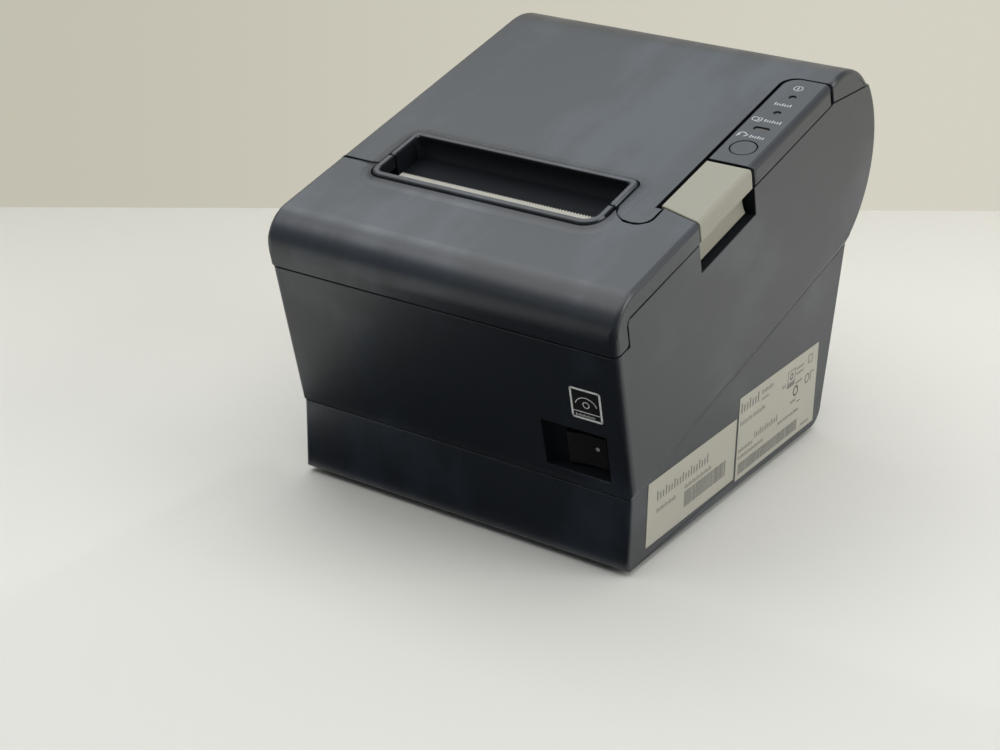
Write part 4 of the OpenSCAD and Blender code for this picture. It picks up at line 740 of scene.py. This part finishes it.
rating_boxes = filler_rows([
    (1.5, 27.4, 4.4, 5), (18.0, 29.2, 2.2, 6), (18.5, 26.6, 1.2, 6), (1.5, 22.2, 2.2, 6),
    (12.0, 22.2, 2.2, 6), (1.2, 11.2, 1.8, 9), (14.0, 12.6, 3.0, 9), (33.5, 10.2, 1.5, 13),
    (1.2, 8.4, 1.8, 16), (54.5, 1.8, 1.4, 7), (47.2, 28.6, 1.3, 7), (47.2, 26.4, 1.3, 7),
    (47.2, 22.6, 1.3, 6), (43.5, 15.4, 1.4, 5), (35.5, 24.6, 1.6, 3),
])
rating_boxes += bar_code(1.8, 2.0, 49, 4.6, 11)
rating_boxes += [(39.5, 23.2, 46.0, 24.6), (47.5, 10.4, 51.0, 11.2)]
rating_signs = [
    ([(40, 25), (40, 30), (46, 30), (46, 25), (40, 25)], 0.4), (ring(43, 27.4, 1.2), 0.5),
    (ring(47.5, 19.8, 1.9), 0.7), (ring(57.2, 21.6, 1.8), 0.5),
    ([(60.4, 20.0), (60.4, 23.2), (62.6, 23.2)], 0.5), ([(49.2, 14.4), (52.0, 14.4)], 0.5),
    ([(57.4, 28.0), (60.6, 28.0), (60.6, 31.0), (57.4, 31.0), (57.4, 28.0)], 0.45),
]
marks("rating_marks", "rating_label", side_plane(-2.3, 5.5), "label_paper", rating_boxes, rating_signs)

# %% The dot on the rocker
rocker_plane = plane_at(deck_point(57.4, -99.27, -63.1), (1, 0, 0), UP_FRONT)
marks("rocker_dot", "power_rocker", rocker_plane, "case_plastic", (), [(ring(0, 0, 0.35), 0.75)])

# %% [markdown]
# ## The table and the wall
# The printer stands on a pale table, which is a real surface and keeps the printer's soft shadow. The
# table ends at a low cream wall. The wall only throws light back at the printer: the camera doesn't
# see it, so it never stands in the way of a view from behind.


# %% Table and wall
def stage_sheet(name, corners, colour):
    """A flat sheet of the room, in one plain colour."""
    bm = bmesh.new()
    bm.faces.new([bm.verts.new(corner) for corner in corners])
    sheet = mesh_from(bm, name)
    surface = Finish(name, Roughness=0.7)
    cloud = surface.grain(2.2, 2)
    surface.feed("Base Color", surface.mix(cloud * 0.2, colour, tuple(c * 0.96 for c in colour)))
    sheet.materials.append(surface.material)
    made = bpy.data.objects.new(name, sheet)
    bpy.context.scene.collection.objects.link(made)
    print(name, "is", [round(side, 2) for side in made.dimensions], "m")
    return made


WALL_MIDDLE = Vector((-0.1786, 0.2115, 0))
WALL_WAY = Vector((0.8126, 0.5828, 0))  # the wall runs this way
HALF_WALL = 3
WALL_UP = Vector((0, 0, 0.30))
TABLE_OUT = Vector((0.5828, -0.8126, 0)) * 4  # the table reaches this far towards the camera

left_foot, right_foot = WALL_MIDDLE - HALF_WALL * WALL_WAY, WALL_MIDDLE + HALF_WALL * WALL_WAY
table_corners = [left_foot, left_foot + TABLE_OUT, right_foot + TABLE_OUT, right_foot]
wall_corners = [left_foot, right_foot, right_foot + WALL_UP, left_foot + WALL_UP]
stage_sheet("table", table_corners, (0.75, 0.748, 0.712))
wall = stage_sheet("wall", wall_corners, (0.90, 0.86, 0.765))
wall.visible_camera = False

# %% [markdown]
# ## Light
# One large soft lamp overhead lights the table evenly. A wide panel of light stands behind the low
# wall, and the sloping deck mirrors it as a soft sheen. A dim panel at the front left lights the bend
# above the front, and one on the right lights the flank and its labels. The camera sees no lamp. A
# black card lies before the printer, and only reflections show it: the front leans over it, mirrors
# it, and stays dark.


# %% Lamps
def soft_lamp(name, place, aim, size, power, colour):
    """A rectangular lamp that looks at a point; the power is in watts, and lengths are in metres."""
    data = bpy.data.lights.new(name, "AREA")
    data.shape = "RECTANGLE"
    data.size, data.size_y = size
    data.energy = power
    data.color = colour
    lamp = bpy.data.objects.new(name, data)
    lamp.location = place
    lamp.visible_camera = False
    lamp.rotation_euler = (Vector(aim) - Vector(place)).to_track_quat("-Z", "Y").to_euler()
    bpy.context.scene.collection.objects.link(lamp)
    print(name, "lamp gives", power, "W")


for lamp_row in (
    ("overhead", (-0.15, -0.20, 1.5), (-0.15, -0.20, 0), (2.2, 2.0), 21, (1.0, 0.99, 0.965)),
    ("sheen", (-0.41, 0.45, 0.73), (0.0, 0.0, 0.13), (1.0, 0.6), 1.85, (0.87, 0.95, 1.0)),
    ("bend", (-0.85, -0.80, 1.15), (0, -0.05, 0.12), (1.0, 0.6), 1.2, (0.94, 0.97, 1.0)),
    ("right", (1.4, 0.35, 0.8), (0, 0, 0.08), (1.0, 1.0), 11, (1.0, 0.995, 0.98)),
):
    soft_lamp(*lamp_row)

# %% The black card
CARD_SIZE = (0.42, 0.70)
CARD_MIDDLE = (0.115, -0.433, 0.003)

bm = bmesh.new()
card_shape = Matrix.Diagonal((*CARD_SIZE, 1, 1))
bmesh.ops.create_grid(bm, x_segments=1, y_segments=1, size=0.5, matrix=card_shape)
bm.transform(Matrix.Translation(CARD_MIDDLE))
card_mesh = mesh_from(bm, "black_card")
black = Finish("black_card", Base_Color=(0.0, 0.0, 0.0, 1), Roughness=1.0, Specular_IOR_Level=0.0)
card_mesh.materials.append(black.material)
card = bpy.data.objects.new("black_card", card_mesh)
bpy.context.scene.collection.objects.link(card)
card.visible_camera = False
card.visible_diffuse = False
card.visible_shadow = False
print("the card is", CARD_SIZE, "m")

# %% [markdown]
# ## The room
# The room is pale above the printer, and dim on the side of the camera. A map of directions does that:
# the share of light grows from the front towards the rear and upwards. The camera itself sees
# something else past the table's edge: a cream backdrop, with painted light that makes it a little
# brighter to the right.


# %% Surroundings
class Room(Finish):
    """The world's nodes, written with the same method."""

    def __init__(self, name):
        self.world = bpy.data.worlds.new(name)
        self.world.use_nodes = True
        self.tree = self.world.node_tree
        self.shader = self.tree.nodes["Background"]
        self.place = self.node("ShaderNodeTexCoord", out="Generated")

    def toward(self, direction):
        """How far a ray points in a direction, from -1 to 1."""
        values = {0: self.place, 1: direction}
        return self.node("ShaderNodeVectorMath", {"operation": "DOT_PRODUCT"}, values, "Value")


room = Room("surroundings")
bpy.context.scene.world = room.world
upward = room.toward((-0.35, 0.1, 0.93)).above(0.1, 0.45)
# Painted light on the backdrop: it grows a little brighter to the right.
painted_light_right = room.toward((0.829, 0.559, 0)).above(-0.02, 0.24)
backdrop = room.mix(painted_light_right, (0.545, 0.525, 0.437), (0.66, 0.64, 0.55))
seen = room.node("ShaderNodeLightPath", out="Is Camera Ray")
room.feed("Color", room.mix(seen, (0.93, 0.96, 1.0), backdrop))
room.feed("Strength", (upward * 0.24 + 0.01) * (1 - seen) + seen)
print("surroundings have", len(room.tree.nodes), "nodes")
